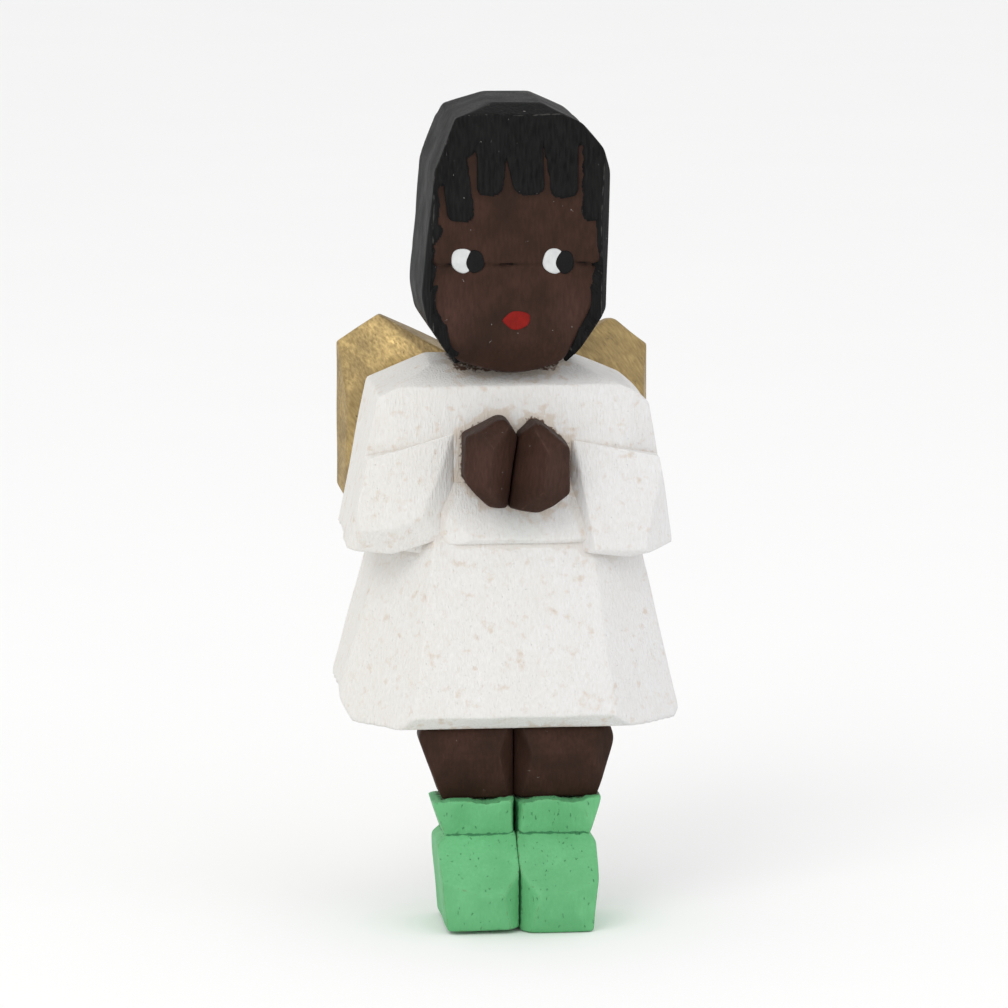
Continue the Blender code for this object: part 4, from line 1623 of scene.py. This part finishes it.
@dataclass
class Boot:
    """One ankle boot: a cuff that widens to the rim, on a foot whose toe slopes to the front."""

    side: Side
    flare: float
    width: float = 7.2
    cuff_height: float = 3.0
    cuff_root: float = 1.0
    cuff_depth: float = 6.1
    foot_depth: float = 10.4
    kerf: float = -0.03
    rim_wave: float = 0.36
    rim_pitch: float = 4.6

    def __post_init__(self) -> None:
        """Places the boot by its box in the frame."""
        low, high = box_of(f"boot_{self.side.name.lower()}")
        sign = self.side.value
        outer = "left" if self.side is Side.LEFT else "right"
        inner = "right" if self.side is Side.LEFT else "left"
        cuff_facets = (
            Facet(**{outer: 1.3, "bottom": 3.6}),
            Facet(**{outer: 2.0, "front": 1.3}),
            Facet(**{inner: 0.5, "front": 2.0}),
            Facet(front=1.0, bottom=3.7),
        )
        foot_facets = (
            Facet(front=5.2, top=4.6),
            Facet(front=0.8, bottom=3.0),
            Facet(**{outer: 3.2, "front": 1.2}),
            Facet(**{outer: 1.0, "top": 0.9}),
            Facet(**{inner: 1.5, "front": 1.9}),
            Facet(**{outer: 0.6, "bottom": 6.0}),
        )
        ends = sorted((sign * self.kerf, sign * (self.kerf + self.width)))
        rims = sorted((sign * self.kerf, sign * (self.kerf + self.width + self.flare)))
        heel, rim, sole = float(high[1]), float(high[2]), float(low[2])
        cuff_bottom = rim - self.cuff_height - self.cuff_root
        self.rim = rim
        self.cuff_block = Block(
            (rims[0], heel - self.cuff_depth, cuff_bottom),
            (rims[1], heel, rim),
            cuff_facets,
            softness=0.09,
            seed=41 + sign,
        )
        self.cuff = Changed(self.cuff_block, self._wavy_rim)
        self.foot = Block(
            (ends[0], heel - self.foot_depth, sole),
            (ends[1], heel, rim - self.cuff_height),
            foot_facets,
            softness=0.09,
            seed=47 + sign,
        )

    def _wavy_rim(self, points: Array, depth: Array) -> Array:
        """Cuts the rim along rim - wave * (1 + sin(a)) / 2 - wave / 10 * sin(5 a), where a runs
        along X once for each pitch."""
        a = 2.0 * math.pi * points[:, 0] / self.rim_pitch + self.side.value
        rim = self.rim - self.rim_wave * ((1.0 + np.sin(a)) / 2.0 + np.sin(5.0 * a) / 10.0)
        return np.maximum(depth, points[:, 2] - rim)

    def build(self, finishes: Finishes, legs: tuple[Shape, ...], other: "Boot") -> None:
        """Builds the cuff and the foot.

        Args:
            finishes: Where materials come from.
            legs: The legs, beside which dirt gathers.
            other: The boot on the other side, beside which painted shade darkens the groove.
        """
        node = f"boot_{self.side.name.lower()}"
        parts = {
            "cuff": (self.cuff, self.cuff_block, self.foot),
            "foot": (self.foot, self.foot, self.cuff),
        }
        for name, (shape, block, neighbour) in parts.items():
            sizes = (block.middle, block.half, 120, 240)
            beside = (neighbour, other.cuff, other.foot)
            Piece(f"{node}_{name}", node, BOOT_PAINT, shape, *sizes, legs, beside).build(finishes)


@dataclass
class Wing:
    """One wing, a thick plate that sweeps back from the middle of the back."""

    side: Side
    span: float
    facets: tuple[Facet, ...]
    height: float = 19.0
    thickness: float = 3.6
    sweep: float = 16.0
    parting: float = 1.0
    bed: float = 0.9
    torso_back: float = 8.2

    def __post_init__(self) -> None:
        """Places the wing by the top of its box in the frame."""
        _, high = box_of(f"wing_{self.side.name.lower()}")
        top = float(high[2])
        sign = self.side.value
        root = self.parting / 2.0 + self.thickness * math.sin(math.radians(self.sweep))
        ends = sorted((0.0, sign * self.span))
        self.shape = Block(
            (ends[0], 0.0, top - self.height),
            (ends[1], self.thickness, top),
            self.facets,
            origin=(sign * root, self.torso_back - self.bed, 0.0),
            turn=sign * self.sweep,
            seed=53 + sign,
        )

    def build(self, finishes: Finishes, touching: tuple[Shape, ...]) -> None:
        """Builds the wing's surface."""
        node = f"wing_{self.side.name.lower()}"
        shape = self.shape
        sizes = (shape.middle, shape.half, 190, 330)
        Piece(f"{node}_carved", node, WING_PAINT, shape, *sizes, touching, front=1.2).build(finishes)


LEFT_WING = Wing(
    Side.LEFT,
    13.6,
    (
        Facet(left=4.0, top=2.7),
        Facet(right=9.6, top=4.6),
        Facet(left=3.2, bottom=3.2),
        Facet(right=10.0, bottom=6.0),
        Facet(front=1.7, top=3.6),
        Facet(left=1.4, front=2.0),
        Facet(left=9.0, top=9.0, front=2.4),
        Facet(left=1.2, back=1.2),
        Facet(back=1.2, top=2.4),
    ),
)
RIGHT_WING = Wing(
    Side.RIGHT,
    14.3,
    (
        Facet(right=3.4, top=2.6),
        Facet(left=10.2, top=4.8),
        Facet(right=3.0, bottom=4.0),
        Facet(left=10.0, bottom=6.0),
        Facet(front=1.6, top=3.4),
        Facet(right=1.2, front=2.0),
        Facet(right=8.6, top=9.0, front=2.4),
        Facet(right=1.2, back=1.2),
        Facet(back=1.2, top=2.4),
    ),
)


# ---- studio ---------------------------------------------------------------------------------


@dataclass
class Studio:
    """A plain pale floor, soft light and the camera."""

    azimuth: float = -6.0
    elevation: float = 9.35
    distance: float = 0.6
    lens: float = 238.1
    aim: Point = (0.00009, 0.00001, 0.0161)
    floor_half: float = 3.0
    floor_steps: int = 24
    floor_colour: Colour = (0.925, 0.925, 0.925)
    sky: float = 0.96
    key: float = 1.75
    fill: float = 0.5

    def floor(self) -> None:
        """A level square grid at the boots' soles: x and y run evenly, z is constant."""
        line = np.linspace(-self.floor_half, self.floor_half, self.floor_steps)
        x, y = np.meshgrid(line, line, indexing="ij")
        sole = float(cad_low[2])
        points = np.stack([x, y, np.full(x.shape, sole)], axis=-1).reshape(-1, 3)
        index = np.arange(self.floor_steps**2).reshape(self.floor_steps, self.floor_steps)
        corners = [index[:-1, :-1], index[1:, :-1], index[1:, 1:], index[:-1, 1:]]
        faces = np.stack(corners, axis=-1).reshape(-1, 4)
        mesh = bpy.data.meshes.new("floor")
        mesh.from_pydata(points.tolist(), [], faces.tolist())
        sheet = bpy.data.objects.new("floor", mesh)
        bpy.context.scene.collection.objects.link(sheet)
        material = bpy.data.materials.new("pale_floor")
        material.use_nodes = True
        wiring = Wiring(material.node_tree)
        shader = material.node_tree.nodes["Principled BSDF"]
        place = wiring.node("ShaderNodeTexCoord").outputs["Object"]
        cloud = wiring.noise(place, 30.0)
        pale = tuple(0.985 * channel for channel in self.floor_colour)
        wiring.feed(shader.inputs["Base Color"], wiring.mix(cloud, self.floor_colour, pale))
        shader.inputs["Roughness"].default_value = 0.9
        shader.inputs["Specular IOR Level"].default_value = 0.1
        mesh.materials.append(material)

    def light(self, name: str, place: Point, size: float, power: float, colour: Colour) -> None:
        """A square soft light that faces the figure.

        Args:
            name: Name of the light.
            place: Where it stands, in metres.
            size: Length of its side.
            power: Its power in watts.
            colour: Its colour.
        """
        lamp = bpy.data.lights.new(name, "AREA")
        lamp.size = size
        lamp.energy = power
        lamp.color = colour
        holder = bpy.data.objects.new(name, lamp)
        holder.location = place
        aim = Vector(self.aim) - Vector(place)
        holder.rotation_euler = aim.to_track_quat("-Z", "Y").to_euler()
        bpy.context.scene.collection.objects.link(holder)

    def build(self) -> None:
        """Makes the floor, the world, the lights and the camera."""
        self.floor()
        scene = bpy.context.scene
        world = bpy.data.worlds.new("soft_studio")
        world.use_nodes = True
        background = world.node_tree.nodes["Background"]
        background.inputs["Color"].default_value = (1.0, 1.0, 1.0, 1.0)
        background.inputs["Strength"].default_value = self.sky
        scene.world = world
        self.light("key", (-0.42, -0.55, 0.62), 0.5, self.key, (1.0, 0.985, 0.96))
        self.light("fill", (0.55, -0.50, 0.25), 0.7, self.fill, (0.96, 0.98, 1.0))
        azimuth, elevation = math.radians(self.azimuth), math.radians(self.elevation)
        back = Vector(
            (
                math.sin(azimuth) * math.cos(elevation),
                -math.cos(azimuth) * math.cos(elevation),
                math.sin(elevation),
            )
        )
        lens = bpy.data.cameras.new("camera")
        lens.lens = self.lens
        lens.sensor_width = 36.0
        lens.clip_start = 0.01
        camera = bpy.data.objects.new("camera", lens)
        camera.location = Vector(self.aim) + self.distance * back
        camera.rotation_euler = (-back).to_track_quat("-Z", "Y").to_euler()
        scene.collection.objects.link(camera)
        scene.camera = camera
        scene.view_settings.view_transform = "Standard"


def dress_dowels(finishes: Finishes) -> None:
    """Gives the frame's own dowels a bare wood finish."""
    for name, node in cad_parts.items():
        if "dowel" in name and isinstance(node, bpy.types.Object):
            for slot in node.material_slots:
                slot.material = finishes.of(BARE_WOOD)


def main() -> None:
    """Builds every part of the figure in order, and then the studio."""
    logging.basicConfig(level=logging.INFO, format="%(name)s: %(message)s")
    finishes = Finishes()
    dress = Dress()
    head = Head()
    hands = [LEFT_HAND, RIGHT_HAND]
    legs = [
        Leg(Side.LEFT, 8.7, Facet(left=2.1, bottom=5.7)),
        Leg(Side.RIGHT, 9.0, Facet(right=1.6, bottom=4.9)),
    ]
    boots = [Boot(Side.LEFT, 0.3), Boot(Side.RIGHT, 0.6)]
    hand_shapes = tuple(hand.shape for hand in hands)
    leg_shapes = tuple(leg.shape for leg in legs)
    dress_shapes = (dress.torso, dress.skirt, dress.sleeve_left, dress.sleeve_right, dress.lap)
    dress.build(finishes, (head.skull, *hand_shapes, *leg_shapes))
    head.build(finishes, dress.torso)
    for hand in hands:
        hand.build(finishes, dress_shapes)
    for leg in legs:
        leg.build(finishes, (dress.skirt, *[boot.cuff for boot in boots]))
    for boot, other in zip(boots, reversed(boots)):
        boot.build(finishes, leg_shapes, other)
    for wing in (LEFT_WING, RIGHT_WING):
        wing.build(finishes, (dress.torso, head.skull))
    dress_dowels(finishes)
    Studio().build()


if __name__ == "__main__":
    main()
